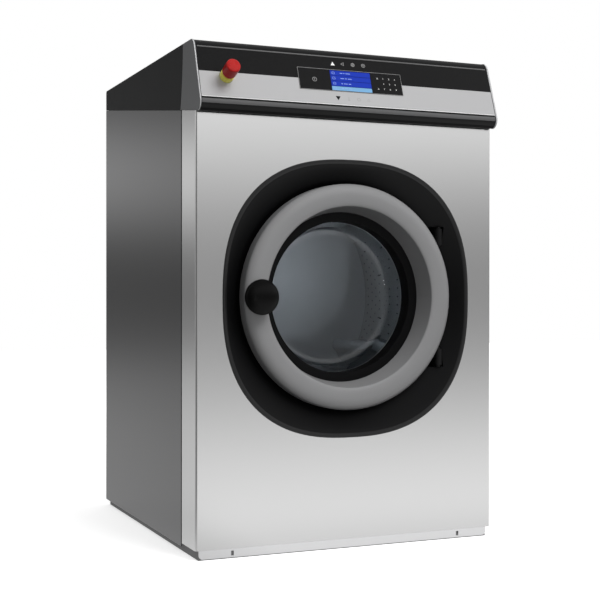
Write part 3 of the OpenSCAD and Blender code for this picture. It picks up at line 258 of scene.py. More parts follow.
@dataclass(frozen=True)
class Brushed(Finish):
    """Rolled or brushed sheet metal: long fine strokes that draw a highlight out across them."""

    metallic: float = 1.0
    stroke: Stroke = Stroke.UPRIGHT
    stroke_mm: float = 60.0
    depth_mm: float = 0.004

    def relief(self, tree: Tree, place: object, normal: object) -> object:
        """Scratches the surface along the stroke."""
        long = add_node(tree, "Mapping", {"Vector": place, "Scale": self.stroke.value})
        return self.bumped(tree, self.noise(tree, long, self.stroke_mm, 6.0), normal, 0.35)


@dataclass(frozen=True)
class Moulded(Finish):
    """Moulded plastic or rubber: a fine spark-eroded texture off the tool, which breaks up the gloss."""

    grain_mm: float = 1.4
    depth_mm: float = 0.05

    def relief(self, tree: Tree, place: object, normal: object) -> object:
        """Presses the tool's texture into the surface, drawn as coarse as the render can show."""
        sockets = {"Vector": place, "Scale": 1 / (self.grain_mm * MM)}
        cells = add_node(tree, "TexVoronoi", sockets, feature="SMOOTH_F1")
        return self.bumped(tree, cells, normal, 0.5)


@dataclass(frozen=True)
class Coated(Finish):
    """Paint, powder coat or casting skin: a soft orange-peel ripple under an even colour."""

    ripple_mm: float = 3.0
    depth_mm: float = 0.03
    coat: float = 0.2

    def relief(self, tree: Tree, place: object, normal: object) -> object:
        """Ripples the surface as paint that ran together does."""
        return self.bumped(tree, self.noise(tree, place, self.ripple_mm, 4.0), normal, 0.4)


@dataclass(frozen=True)
class Clear(Moulded):
    """Pressed glass: clear and smooth, with the faint waviness of its mould."""

    grain_mm: float = 45.0
    depth_mm: float = 0.05

    def dress(self, tree: Tree) -> bpy.types.Node:
        """Lets light through the shader of a plain finish, and lets shadows pass the glass."""
        shader = super().dress(tree)
        shader.inputs["Transmission Weight"].default_value = 1.0
        out = next(n for n in tree.nodes if n.type == "OUTPUT_MATERIAL")
        path = add_node(tree, "LightPath")
        open_air = add_node(tree, "BsdfTransparent", {"Color": (0.95, 0.96, 0.97, 1.0)})
        either = add_node(tree, "MixShader", {0: path.outputs["Is Shadow Ray"], 1: shader, 2: open_air})
        tree.links.new(either.outputs[0], out.inputs["Surface"])
        return shader


@dataclass(frozen=True)
class Lit(Finish):
    """A back-lit area that gives a little light of its own; on a printed area that glow is painted light."""

    glow: float = 0.4
    edge_mm: float = 0.1

    def dress(self, tree: Tree) -> bpy.types.Node:
        """Adds an even glow in the finish's own colour, which is painted light on print."""
        shader = super().dress(tree)
        shader.inputs["Emission Color"].default_value = linear(self.colour)
        shader.inputs["Emission Strength"].default_value = self.glow
        return shader


# Bright-annealed stainless of the plinth strip, with the grain running across.
STAINLESS_ACROSS = Brushed(
    "stainless_sheet_brushed_across", "#E8E8E9", 0.34, spread=0.03, tone=0.02, stroke=Stroke.ACROSS,
)
# Grey film-coated steel of the cabinet sides: darker, with a smeared metallic sheen.
COATED_SIDE = Brushed(
    "steel_sheet_grey_laminate", "#747475", 0.24, spread=0.0, tone=0.0, tone_mm=350.0,
    stroke=Stroke.UPRIGHT,
)
# Dark laminate of the top cover, nearly black at a flat angle.
COATED_TOP = Brushed(
    "steel_sheet_dark_laminate", "#141516", 0.55, metallic=0.0, ior=1.3, spread=0.02, tone=0.05,
    stroke=Stroke.ACROSS,
)
# Drawn stainless of the drum and tub: brighter and cooler, marked by the rollers.
DRUM_STEEL = Brushed(
    "stainless_sheet_drum", "#C2C6CA", 0.24, stroke=Stroke.DEEP, stroke_mm=40.0, depth_mm=0.01,
)
# Galvanised sheet of inner brackets: grey zinc spangle that mottles the tone.
GALVANISED = Coated("steel_galvanised", "#9A9DA0", 0.42, metallic=1.0, tone=0.2, tone_mm=14.0, coat=0.0)
# Zinc-plated fasteners: bright, slightly uneven gloss, darker in the recesses.
ZINC = Brushed(
    "steel_zinc_plated", "#B9BCBF", 0.28, tone=0.1, tone_mm=6.0, stroke=Stroke.ROUND, stroke_mm=1.2,
)
# Turned steel of shafts and pins: fine rings that keep a sharp highlight.
TURNED = Brushed("steel_turned", "#B4B6B8", 0.2, tone=0.05, stroke=Stroke.DEEP, stroke_mm=3.0)
# Cast iron: dark, rough casting skin that wears to bare grey on its edges.
CAST_IRON = Coated(
    "cast_iron_painted", "#3A3E42", 0.55, worn="#7C7F82", ripple_mm=1.6, depth_mm=0.12, tone=0.18,
    tone_mm=30.0,
)
# Die-cast aluminium: pale grey, sandy skin.
CAST_ALUMINIUM = Coated(
    "aluminium_die_cast", "#A9ABAD", 0.45, metallic=1.0, ripple_mm=1.2, depth_mm=0.08, tone=0.12,
    coat=0.0,
)
# Silver-grey enamel of the door ring: soft satin sheen over the casting.
RING_ENAMEL = Coated(
    "aluminium_enamelled_grey", "#8B8B8C", 0.42, tone=0.03, worn="#A2A3A5", ripple_mm=2.2, depth_mm=0.02,
    coat=0.1,
)
# Polyester powder coat on the base frame: pale grey, orange-peel ripple, chipped bright on the edges.
POWDER_PALE = Coated("steel_powder_coated_pale", "#7C7C7D", 0.48, tone=0.04, worn="#E4E4E4", edge_mm=0.5)
# Dark powder coat of the motor and its bracket.
POWDER_DARK = Coated("steel_powder_coated_dark", "#2C2F33", 0.5, tone=0.1, worn="#55585C", tone_mm=25.0)
# Oxide-blacked steel of the door hinge: dull, so that it hides in its dark pocket.
OXIDE_BLACK = Coated(
    "steel_oxide_black", "#060607", 0.6, shine=0.25, tone=0.15, tone_mm=12.0, worn="#1C1D1E", coat=0.0,
)
# Black ABS of the door surround: deep black satin, its grain only shows in the highlight.
ABS_BLACK = Moulded(
    "abs_black_satin", "#040405", 0.6, shine=0.24, tone=0.10, spread=0.05, grain_mm=1.2, depth_mm=0.02,
)
# Black ABS of the console: the same plastic off a smoother tool, so it glosses along the curves.
ABS_CONSOLE = Moulded(
    "abs_black_console", "#0B0B0C", 0.42, shine=0.2, tone=0.06, spread=0.04, grain_mm=1.6,
    depth_mm=0.015,
)
# The surround's rolled edge: the same plastic, made paler as a painted highlight.
ABS_EDGE_PAINTED_HIGHLIGHT = Moulded(
    "abs_black_edge_painted_highlight", "#101011", 0.45, ior=1.45, tone=0.05, spread=0.03, grain_mm=1.6, depth_mm=0.01,
)
# Satin grey strip along the top of the console's lip: a painted highlight.
ABS_LIP_PAINTED_HIGHLIGHT = Moulded("abs_grey_lip_painted_highlight", "#575758", 0.38, tone=0.03, spread=0.03, grain_mm=1.4, depth_mm=0.01)
# Grey ABS of the end cheeks: an even satin that takes the side light.
CHEEK_GREY = Moulded("abs_grey_cheek", "#747577", 0.4, tone=0.05, spread=0.04, grain_mm=1.4, depth_mm=0.02)
# Pale bead along the cheeks' rolled front edge, a painted highlight: the thin line of light that the edge
# catches.
CHEEK_EDGE_PAINTED_HIGHLIGHT = Moulded(
    "cheek_edge_painted_highlight", "#D8D8D9", 0.35, tone=0.03, spread=0.03, grain_mm=1.4, depth_mm=0.01,
)
# Polished compression-moulded knob: a deep black with soft wide highlights.
PHENOLIC = Moulded(
    "phenolic_black_polished", "#020202", 0.3, shine=0.12, tone=0.1, spread=0.04, grain_mm=6.0,
    depth_mm=0.01,
)
# Pale polypropylene of soap box, strainers and terminals: milky, waxy surface.
POLYPROPYLENE = Moulded("polypropylene_natural", "#D9D8D2", 0.5, tone=0.04, grain_mm=2.0, depth_mm=0.03)
# Grey polypropylene of drain and vent pipes: the same wax in a mid grey.
POLYPROPYLENE_GREY = Moulded("polypropylene_grey", "#7B7E81", 0.5, tone=0.06, grain_mm=2.0, depth_mm=0.03)
# Glass-filled nylon: black, dry and slightly streaky.
NYLON_BLACK = Moulded(
    "nylon_glass_filled_black", "#1B1C1E", 0.55, tone=0.16, tone_mm=12.0, grain_mm=0.9, depth_mm=0.05,
)
# White nylon of inlet valves, actuator and pressure switch: even and slightly waxy.
NYLON_WHITE = Moulded("nylon_white", "#DCDCD8", 0.46, tone=0.04, grain_mm=1.2, depth_mm=0.03)
# EPDM rubber: near black, dull, dusty in patches.
EPDM = Moulded(
    "epdm_rubber_black", "#040405", 0.75, shine=0.18, tone=0.25, tone_mm=20.0, grain_mm=0.9,
    depth_mm=0.06,
)
# EPDM of the tub's door gasket: a little shinier than the other rubber, as its lip is wiped clean.
EPDM_GASKET = Moulded(
    "epdm_rubber_gasket", "#08090A", 0.7, shine=0.25, tone=0.2, tone_mm=35.0, grain_mm=1.0,
    depth_mm=0.05,
)
# Belt rubber with its cloth skin: a dull, faintly fibrous black.
BELT_RUBBER = Moulded(
    "belt_rubber_cloth", "#191919", 0.72, tone=0.3, tone_mm=5.0, grain_mm=1.1, depth_mm=0.1,
)
# Borosilicate door bowl: thick clear glass with a slight grey-blue cast.
BOWL_GLASS = Clear("glass_borosilicate_pressed", "#DDE3E8", 0.03, spread=0.0, ior=1.47, edge_mm=0.2)
# Polyester face film, silver: metallic ink under a matt layer that spreads the highlight.
FILM_SILVER = Brushed(
    "polyester_film_silver", "#B9B9BA", 0.5, metallic=0.3, spread=0.02, tone=0.015, stroke=Stroke.ACROSS,
    edge_mm=0.1,
)
# Polyester face film, black: smooth, with a dim broad sheen.
FILM_BLACK = Moulded(
    "polyester_film_black", "#0A0A0B", 0.5, shine=0.24, tone=0.04, spread=0.02, grain_mm=0.8,
    depth_mm=0.01, edge_mm=0.1,
)
# White ink of the upper arrow and the keys, with a faint glow that is painted light; the silver band's edge
# line drawn in it is a painted highlight.
INK_PALE_PAINTED_GLOW = Lit("print_ink_white_painted_glow", "#EDEDED", 0.5, tone=0.02, glow=0.12)
# Grey ink of the quieter icons on the black film, with a faint glow that is painted light.
INK_GREY_PAINTED_GLOW = Lit("print_ink_grey_painted_glow", "#9A9A9A", 0.5, tone=0.03, glow=0.03)
# Soft grey line above the black band, with a faint glow that is painted light.
INK_SOFT_PAINTED_GLOW = Lit("print_ink_soft_grey_painted_glow", "#5C5C5C", 0.5, tone=0.03, glow=0.02)
# Pale grey print that barely shows on the silver film.
INK_FAINT = Lit("print_ink_faint", "#A6A6A6", 0.5, tone=0.03, glow=0.0)
# Black ink of the lower arrow; the same black laid in the groove under the silver band is painted shade.
INK_BLACK_AND_PAINTED_SHADE = Lit("print_ink_black_and_painted_shade", "#070707", 0.5, shine=0.25, tone=0.03, glow=0.0)
# Screen behind clear film: evenly back-lit royal blue.
SCREEN_BLUE = Lit("screen_blue_backlit", "#0C2A94", 0.5, shine=0.25, tone=0.05, tone_mm=25.0, glow=0.45)
# The chosen row of the screen, lighter.
SCREEN_PALE = Lit("screen_pale_backlit", "#6697BE", 0.4, tone=0.04, tone_mm=25.0, glow=0.3)
# Soft light-blue marks on the screen's rows.
SCREEN_MARK = Lit("screen_mark_backlit", "#8FA8DC", 0.5, shine=0.25, tone=0.03, glow=0.12)
# Deep blue of the gaps between the rows.
SCREEN_DEEP = Lit("screen_deep_backlit", "#10206E", 0.5, shine=0.25, tone=0.04, tone_mm=25.0, glow=0.3)
# PBT stop head: saturated red with a moulded gloss.
STOP_RED = Moulded("pbt_red_moulded", "#B2130F", 0.42, ior=1.4, tone=0.05, grain_mm=3.0, depth_mm=0.01)
# Yellow collar under it.
STOP_YELLOW = Moulded("pbt_yellow_moulded", "#F8F06E", 0.4, tone=0.05, grain_mm=3.0, depth_mm=0.01)
# Green solder mask of the control board: gloss varnish over the copper.
SOLDER_MASK = Coated("board_solder_mask_green", "#1F5A37", 0.28, tone=0.12, tone_mm=9.0, coat=0.5)
# Turned brass of the heater terminals and the earth stud.
BRASS = Brushed("brass_turned", "#C2A25A", 0.3, tone=0.08, stroke=Stroke.ROUND, stroke_mm=2.0)
# Incoloy sheath of the heating rods: heat-tinted, brownish grey.
HEATER_SHEATH = Brushed(
    "incoloy_heat_tinted", "#6E635A", 0.38, tone=0.25, tone_mm=30.0, stroke=Stroke.ROUND, stroke_mm=2.0,
)


@dataclass(frozen=True)
class PunchedSteel(Brushed):
    """Drum sheet whose round wall is punched with rows of small holes; its flat end stays plain."""

    hole_mm: float = 3.8
    pitch_mm: float = 22.0
    radius_mm: float = 310.0
    wall_painted_shade: float = 0.75

    def dress(self, tree: Tree) -> bpy.types.Node:
        """Darkens the dots of a staggered grid wound round the drum's axis, and dims the whole round wall as
        painted shade.
        """
        shader = super().dress(tree)
        x, y, z = parts_of(tree, vector_maths(tree, "ADD", place_in(tree), (0.0, 0.0, -DOOR_Z * MM)))
        turn = maths(tree, "ARCTAN2", z, x)
        around = round(2 * math.pi * self.radius_mm / self.pitch_mm / 2) * 2
        along = maths(tree, "MULTIPLY", y, 1 / (self.pitch_mm * MM))
        stagger = maths(tree, "MULTIPLY", maths(tree, "FLOOR", along), 0.5)
        wound = maths(tree, "MULTIPLY_ADD", turn, around / (2 * math.pi), stagger)
        squares = []
        for source in (along, wound):
            middle = maths(tree, "SUBTRACT", maths(tree, "FRACT", source), 0.5)
            squares.append(maths(tree, "POWER", middle, 2.0))
        total = maths(tree, "ADD", *squares)
        edge = (self.hole_mm / 2 / self.pitch_mm) ** 2
        hole = ranged(tree, total, edge * 0.7, edge * 1.3)
        reach = vector_maths(tree, "LENGTH", add_node(tree, "CombineXYZ", {0: x, 1: z})).outputs["Value"]
        inside = maths(tree, "LESS_THAN", reach, (self.radius_mm - 4) * MM)
        plain = maths(tree, "MAXIMUM", hole, inside)
        # Painted shade: the round wall is dimmed against the flat end.
        shade = ranged(tree, inside, 0.0, 1.0, self.wall_painted_shade, 1.0)
        colour = vector_maths(tree, "MULTIPLY", shader.inputs["Base Color"].links[0].from_socket, shade)
        tree.links.new(mixed(tree, plain, linear("#050506"), colour), shader.inputs["Base Color"])
        return shader


@dataclass(frozen=True)
class BrushedPaintedSides(Brushed):
    """Brushed sheet whose side flanges get a paler colour as a painted highlight."""

    # Colour of the painted highlight on the side flanges.
    flange: str = "#F2F2F2"

    def dress(self, tree: Tree) -> bpy.types.Node:
        """Paints a highlight on the faces that look sideways."""
        shader = super().dress(tree)
        across = parts_of(tree, add_node(tree, "NewGeometry").outputs["Normal"])[0]
        # Painted highlight: faces that look along X take the paler colour.
        side = ranged(tree, maths(tree, "ABSOLUTE", across), 0.6, 0.8)
        colour = shader.inputs["Base Color"].links[0].from_socket
        tree.links.new(mixed(tree, side, colour, linear(self.flange)), shader.inputs["Base Color"])
        return shader


# Cold-rolled stainless sheet, upright grain: pale, with reflections that blur into soft bands, and a painted
# highlight on its side flanges.
STAINLESS = BrushedPaintedSides("stainless_sheet_brushed", "#D6D6D6", 0.22, spread=0.0, tone=0.0, tone_mm=400.0)
# Punched drum shell: the drum's steel with its staggered water holes.
DRUM_PUNCHED = PunchedSteel(
    "stainless_sheet_punched", "#DEE0E2", 0.62, stroke=Stroke.DEEP, stroke_mm=40.0, depth_mm=0.01,
)


def link_new(name: str, data: bpy.types.ID) -> Piece:
    """Makes an object of its data and links it to the scene."""
    made = bpy.data.objects.new(name, data)
    bpy.context.scene.collection.objects.link(made)
    return made


def plain_mesh(name: str, points: Sequence[Point], faces: Faces, merge: bool = False) -> bpy.types.Mesh:
    """Makes a mesh in metres of points in millimetres, with its faces turned outwards.

    Args:
        name: the mesh's name.
        points: its corners in the CAD frame.
        faces: corner numbers of each face.
        merge: joins corners that fall together.

    Returns:
        The new mesh.
    """
    mesh = bpy.data.meshes.new(name)
    mesh.from_pydata([[c * MM for c in p] for p in points], [], [list(f) for f in faces])
    work = bmesh.new()
    work.from_mesh(mesh)
    if merge:
        bmesh.ops.remove_doubles(work, verts=work.verts, dist=1e-7)
    bmesh.ops.recalc_face_normals(work, faces=work.faces)
    work.to_mesh(mesh)
    work.free()
    return mesh


def skin(rings: int, steps: int, whole: bool = False) -> list[list[int]]:
    """Lists the faces between closed rings of points; whole joins the last ring to the first."""
    faces = []
    for ring in range(rings if whole else rings - 1):
        low, high = ring * steps, (ring + 1) % rings * steps
        faces += [[low + i, low + (i + 1) % steps, high + (i + 1) % steps, high + i] for i in range(steps)]
    return faces


def shown_mesh(holder: Piece) -> bpy.types.Mesh:
    """Gives an object's mesh as its modifiers or its font leave it."""
    bpy.context.view_layer.update()
    return bpy.data.meshes.new_from_object(holder.evaluated_get(bpy.context.evaluated_depsgraph_get()))


def place_mesh(
    name: str, mesh: bpy.types.Mesh, finish: Finish, body: str, bevel_mm: float = 0.0, sharp_deg: float = 35.0
) -> Piece:
    """Shades a finished mesh, gives it its material and lets it ride on a body.

    Args:
        name: the piece's name.
        mesh: its mesh, in metres in the CAD frame.
        finish: what it is made of.
        body: the CAD body that it rides on.
        bevel_mm: width of the rounding on its sharp edges.
        sharp_deg: the edge angle above which shading stays sharp.

    Returns:
        The new object.
    """
    mesh.shade_smooth()
    mesh.set_sharp_from_angle(angle=math.radians(sharp_deg))
    mesh.materials.clear()
    mesh.materials.append(finish.material())
    piece = link_new(name, mesh)
    if bevel_mm > 0:
        rounding = piece.modifiers.new("rounding", "BEVEL")
        rounding.width = bevel_mm * MM
        rounding.segments = 2
        rounding.limit_method = "ANGLE"
        rounding.angle_limit = math.radians(sharp_deg)
    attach(piece, body)
    LOG.info("%s rides on %s", name, body)
    return piece


class Shape:
    """Points and faces gathered in millimetres, so that several small forms make one piece."""

    def __init__(self) -> None:
        """Starts with nothing."""
        self.points: list[Point] = []
        self.faces: list[list[int]] = []

    def add(self, points: Sequence[Point], faces: Faces) -> None:
        """Adds a form.

        Args:
            points: its corners.
            faces: corner numbers of each face, counted from its own first corner.
        """
        start = len(self.points)
        self.points.extend(tuple(p) for p in points)
        self.faces.extend([start + i for i in face] for face in faces)

    def turned(self, profile: Sequence[Flat], place: Matrix, steps: int = 48, whole: bool = False) -> None:
        """Adds a turned form round the local Z axis of a placing matrix.

        Args:
            profile: radius and height of each ring. A radius of 0 closes the form.
            place: where the form goes, in millimetres.
            steps: facets round it.
            whole: joins the last ring to the first.
        """
        rings, points, faces = [], [], []
        for radius, height in profile:
            if radius <= 1e-6:
                rings.append([len(points)] * steps)
                points.append(tuple(place @ Vector((0, 0, height))))
                continue
            rings.append(list(range(len(points), len(points) + steps)))
            points += [tuple(place @ Vector((x, y, height))) for x, y in ring_outline(radius, steps)]
        pairs = list(zip(rings, rings[1:])) + ([(rings[-1], rings[0])] if whole else [])
        for low, high in pairs:
            for i in range(steps):
                j = (i + 1) % steps
                corners = [low[i], low[j], high[j], high[i]]
                faces.append(list(dict.fromkeys(corners)))
        self.add(points, [f for f in faces if len(f) > 2])

    def plate(self, outline: Sequence[Flat], low: float, high: float, place: Matrix) -> None:
        """Adds a flat plate between two local heights of a placing matrix.

        Args:
            outline: its outline, once round.
            low: height of its underside.
            high: height of its top.
            place: where the plate goes, in millimetres.
        """
        n = len(outline)
        points = [tuple(place @ Vector((x, y, z))) for z in (low, high) for x, y in outline]
        sides = [[i, (i + 1) % n, n + (i + 1) % n, n + i] for i in range(n)]
        self.add(points, [list(range(n))[::-1], list(range(n, 2 * n)), *sides])

    def frame_plate(
        self, outer: Sequence[Flat], inner: Sequence[Flat], low: float, high: float, place: Matrix
    ) -> None:
        """Adds a plate with a hole, whose two outlines have the same count of points.

        Args:
            outer: the outer outline.
            inner: the hole's outline.
            low: height of its underside.
            high: height of its top.
            place: where the plate goes, in millimetres.
        """
        n = len(outer)
        points = [tuple(place @ Vector((x, y, z))) for z in (low, high) for x, y in (*outer, *inner)]
        faces = []
        for i in range(n):
            j = (i + 1) % n
            faces += [[i, j, n + j, n + i], [2 * n + i, 3 * n + i, 3 * n + j, 2 * n + j]]
            faces += [[i, 2 * n + i, 2 * n + j, j], [n + i, n + j, 3 * n + j, 3 * n + i]]
        self.add(points, faces)

    def tube(self, path: Sequence[Point], radius: float, steps: int = 12) -> None:
        """Adds a round bar along a path.

        Args:
            path: the points of its centre line.
            radius: its radius.
            steps: facets round it.
        """
        line = [Vector(p) for p in path]
        side = Vector((0, 0, 1)) if abs((line[1] - line[0]).normalized().z) < 0.9 else Vector((1, 0, 0))
        points: list[Point] = []
        for i, p in enumerate(line):
            ahead = (line[min(i + 1, len(line) - 1)] - line[max(i - 1, 0)]).normalized()
            across = ahead.cross(side).normalized()
            side = across.cross(ahead).normalized()
            points += [tuple(p + across * a + side * b) for a, b in ring_outline(radius, steps)]
        ends = [list(range(steps))[::-1], list(range(len(points) - steps, len(points)))]
        self.add(points, [*skin(len(line), steps), *ends])

    def piece(
        self, name: str, finish: Finish, body: str = "cabinet", bevel_mm: float = 0.0, sharp_deg: float = 35.0
    ) -> Piece:
        """Makes the gathered forms one piece; see place_mesh for the arguments."""
        mesh = plain_mesh(name, self.points, self.faces, True)
        return place_mesh(name, mesh, finish, body, bevel_mm, sharp_deg)


def round_rect(
    width: float, height: float, radius: float, steps: int = 6, centre: Flat = (0.0, 0.0)
) -> list[Flat]:
    """Outline of a rectangle with round corners.

    Args:
        width: its width.
        height: its height.
        radius: radius of the corners.
        steps: points in each corner.
        centre: its middle.

    Returns:
        The outline, once round.
    """
    outline: list[Flat] = []
    for corner, (sx, sy) in enumerate(((1, 1), (-1, 1), (-1, -1), (1, -1))):
        middle = (centre[0] + sx * (width / 2 - radius), centre[1] + sy * (height / 2 - radius))
        outline += arc(radius, [90 * (corner + i / steps) for i in range(steps + 1)], middle)
    return outline


def ring_outline(
    radius: float, steps: int = 32, centre: Flat = (0.0, 0.0), start_deg: float = 0.0
) -> list[Flat]:
    """Outline of a circle, or of a polygon with few steps, in millimetres."""
    return arc(radius, [start_deg + 360 * i / steps for i in range(steps)], centre)


def arc(radius: float, turns_deg: Sequence[float], centre: Flat = (0.0, 0.0)) -> list[Flat]:
    """Points of a circle at the given turns, in degrees."""
    turns = [math.radians(t) for t in turns_deg]
    return [(centre[0] + radius * math.cos(t), centre[1] + radius * math.sin(t)) for t in turns]


def looking(place: Point, out: Point, up: Point = (0.0, 0.0, 1.0)) -> Matrix:
    """Placing matrix whose local Z points out of a surface.

    Args:
        place: the origin, in millimetres.
        out: direction of the local Z axis.
        up: the direction that the local Y axis leans to.

    Returns:
        The matrix.
    """
    z = Vector(out).normalized()
    x = Vector(up).cross(z)
    x = x.normalized() if x.length > 1e-6 else Vector((1, 0, 0))
    y = z.cross(x)
    turn = Matrix((x, y, z)).transposed().to_4x4()
    turn.translation = Vector(place)
    return turn


def aimed(name: str, data: bpy.types.ID, place: Point, look: Vector, roll_deg: float = 0.0) -> Piece:
    """Stands a lamp or camera at a place in millimetres, looking along a direction.

    Args:
        name: the object's name.
        data: its lamp or camera.
        place: where it stands.
        look: the direction of its view.
        roll_deg: how far it is rolled about that direction.

    Returns:
        The new object.
    """
    turn = look.to_track_quat("-Z", "Y").to_matrix().to_4x4()
    turn @= Matrix.Rotation(math.radians(roll_deg), 4, "Z")
    turn.translation = Vector(place) * MM
    made = link_new(name, data)
    made.matrix_world = turn
    return made


@dataclass
class Studio:
    """Floor, backdrop, lamps and the camera at the photograph's place.

    A Range says from where to where a look changes, in metres, and the values at both ends.
    """

    eye: Point = (-1141.0, -2774.0, 556.6)
    yaw_deg: float = 23.068
    pitch_deg: float = -0.311
    roll_deg: float = 0.047
    lens_mm: float = 72.93
    sensor_mm: float = 36.0
    floor_half: float = 9000.0
    wall_radius: float = 5200.0
    wall_high: float = 4200.0
    wall_steps: int = 96
    wall_rows: int = 40
    floor_lift: Range = (1.2, 4.0, 0.62, 1.0)
    sheen_ahead: Range = (-1.0, -4.0, 0.98, 0.55)
    sheen_beside: Range = (-0.15, -0.7, 1.0, 0.1)
    sheen_behind: Range = (0.5, 3.2, 0.48, 0.38)
    sheen_turn: Range = (-0.8, 0.3)
    wall_turn: Range = (-1.0, 2.0)
    wall_left: Range = (-0.6, -2.6, 0.0, 0.85)
    wall_front: Range = (0.0, -1.5)
    plain_light: float = 0.36
    gloss_light: float = 0.6
    glow: float = 1.3
    corner_grey: float = 0.09
    greys_before: tuple[Flat, ...] = (
        (0.0, 0.75), (0.05, 0.36), (0.20, 0.17), (0.30, 0.62), (0.38, 1.3), (1.0, 1.0)
    )
    greys_behind: tuple[Flat, ...] = (
        (0.0, 0.45), (0.06, 0.19), (0.20, 0.08), (0.29, 0.72), (0.36, 0.60), (0.43, 0.14), (1.0, 0.3)
    )
    lamps: tuple[tuple[str, Point, float, float], ...] = (
        ("lamp_key", (900.0, -2700.0, 3300.0), 1900.0, 98.0),
        ("lamp_fill", (-1300.0, -3000.0, 500.0), 900.0, 9.0),
        ("lamp_top", (0.0, 300.0, 3600.0), 2600.0, 14.0),
        ("lamp_rear", (600.0, 3400.0, 2300.0), 2600.0, 30.0),
    )
    drum_lamp: Point = (-420.0, -2800.0, 200.0)
    drum_aim: Point = (0.0, -270.0, 554.0)
    drum_cone_deg: float = 6.0
    drum_watts: float = 72.0

    def build(self) -> None:
        """Sets the camera, the light and what stands round the machine."""
        self.camera()
        self.world()
        self.floor()
        self.reflecting_wall()
        for lamp in self.lamps:
            self.lamp(*lamp)
        self.spot()

    def camera(self) -> None:
        """Aims the camera as the photograph's fitted perspective has it."""
        yaw, pitch = math.radians(self.yaw_deg), math.radians(self.pitch_deg)
        look = Vector((math.sin(yaw) * math.cos(pitch), math.cos(yaw) * math.cos(pitch), math.sin(pitch)))
        lens = bpy.data.cameras.new("camera")
        lens.lens, lens.sensor_width = self.lens_mm, self.sensor_mm
        lens.clip_start, lens.clip_end = 0.05, 60.0
        bpy.context.scene.camera = aimed("camera", lens, self.eye, look, self.roll_deg)
        bpy.context.scene.view_settings.view_transform = "Standard"

    def world(self) -> None:
        """Gives a white surrounding to the eye, gloss and glass, and a softer one to plain light."""
        bpy.context.scene.world = bpy.data.worlds.new("studio")
        tree = fresh_tree(bpy.context.scene.world)
        path = add_node(tree, "LightPath")
        gloss = path.outputs["Is Glossy Ray"]
        seen = maths(tree, "MAXIMUM", path.outputs["Is Camera Ray"], gloss)
        shown = maths(tree, "MAXIMUM", seen, path.outputs["Is Transmission Ray"])
        light = add_node(tree, "Background", {"Color": linear("#F8F8F8"), "Strength": self.plain_light})
        white = add_node(tree, "Background", {"Color": WHITE, "Strength": 1.0})
        dimmer = add_node(tree, "Background", {"Color": WHITE, "Strength": self.gloss_light})
        above = add_node(tree, "MixShader", {0: gloss, 1: white, 2: dimmer})
        both = add_node(tree, "MixShader", {0: shown, 1: light, 2: above})
        add_node(tree, "OutputWorld", {"Surface": both})

    def floor(self) -> None:
        """Lays a pale floor that looks white and still takes the machine's shadow."""
        half = self.floor_half * MM
        made = bpy.data.materials.new("studio_floor_pale")
        tree = fresh_tree(made)
        path = add_node(tree, "LightPath")
        eye, gloss = path.outputs["Is Camera Ray"], path.outputs["Is Glossy Ray"]
        tint = mixed(tree, eye, linear("#6C6C6C"), linear("#F4F4F4"))
        matt = add_node(tree, "BsdfDiffuse", {"Color": tint})
        away = vector_maths(tree, "LENGTH", place_in(tree)).outputs["Value"]
        rise = ranged(tree, away, *self.floor_lift)
        lift = add_node(tree, "Emission", {"Strength": rise, "Color": WHITE})
        across, deep, _ = parts_of(tree, place_in(tree))
        ahead, beside = ranged(tree, deep, *self.sheen_ahead), ranged(tree, across, *self.sheen_beside)
        front, behind = maths(tree, "MULTIPLY", ahead, beside), ranged(tree, deep, *self.sheen_behind)
        sheen = add_node(tree, "Mix", {0: ranged(tree, deep, *self.sheen_turn), 2: front, 3: behind})
        shine = add_node(tree, "Emission", {"Strength": sheen, "Color": WHITE})
        nothing = add_node(tree, "Emission", {"Strength": 0.0})
        dim = add_node(tree, "MixShader", {0: gloss, 1: nothing, 2: shine})
        glow = add_node(tree, "MixShader", {0: eye, 1: dim, 2: lift})
        add_node(tree, "OutputMaterial", {"Surface": add_node(tree, "AddShader", {0: matt, 1: glow})})
        mesh = bpy.data.meshes.new("studio_floor")
        corners = [(-half, -half, 0), (half, -half, 0), (half, half, 0), (-half, half, 0)]
        mesh.from_pydata(corners, [], [(0, 1, 2, 3)])
        mesh.materials.append(made)
        floor = link_new("studio_floor", mesh)

    def reflecting_wall(self) -> None:
        """Stands a round studio wall that only gloss sees: grey at eye height and paler above and below."""
        heights = [self.wall_high * MM * k / self.wall_rows for k in range(self.wall_rows + 1)]
        circle = ring_outline(self.wall_radius * MM, self.wall_steps)
        made = bpy.data.materials.new("studio_wall_graded")
        tree = fresh_tree(made)
        across, deep, up = parts_of(tree, place_in(tree))
        rise = ranged(tree, up, 0.0, self.wall_high * MM)
        greys = [self.graded(tree, rise, levels) for levels in (self.greys_before, self.greys_behind)]
        level = mixed(tree, ranged(tree, deep, *self.wall_turn), *greys)
        left = ranged(tree, across, *self.wall_left)
        corner = maths(tree, "MULTIPLY", left, ranged(tree, deep, *self.wall_front))
        lit = mixed(tree, corner, level, (*[self.corner_grey] * 3, 1.0))
        light = add_node(tree, "Emission", {"Color": lit, "Strength": self.glow})
        add_node(tree, "OutputMaterial", {"Surface": light})
        mesh = bpy.data.meshes.new("studio_wall")
        points = [(x, y, height) for height in heights for x, y in circle]
        mesh.from_pydata(points, [], skin(len(heights), self.wall_steps))
        mesh.materials.append(made)
        wall = link_new("studio_wall", mesh)
        wall.visible_camera = wall.visible_diffuse = wall.visible_shadow = wall.visible_transmission = False

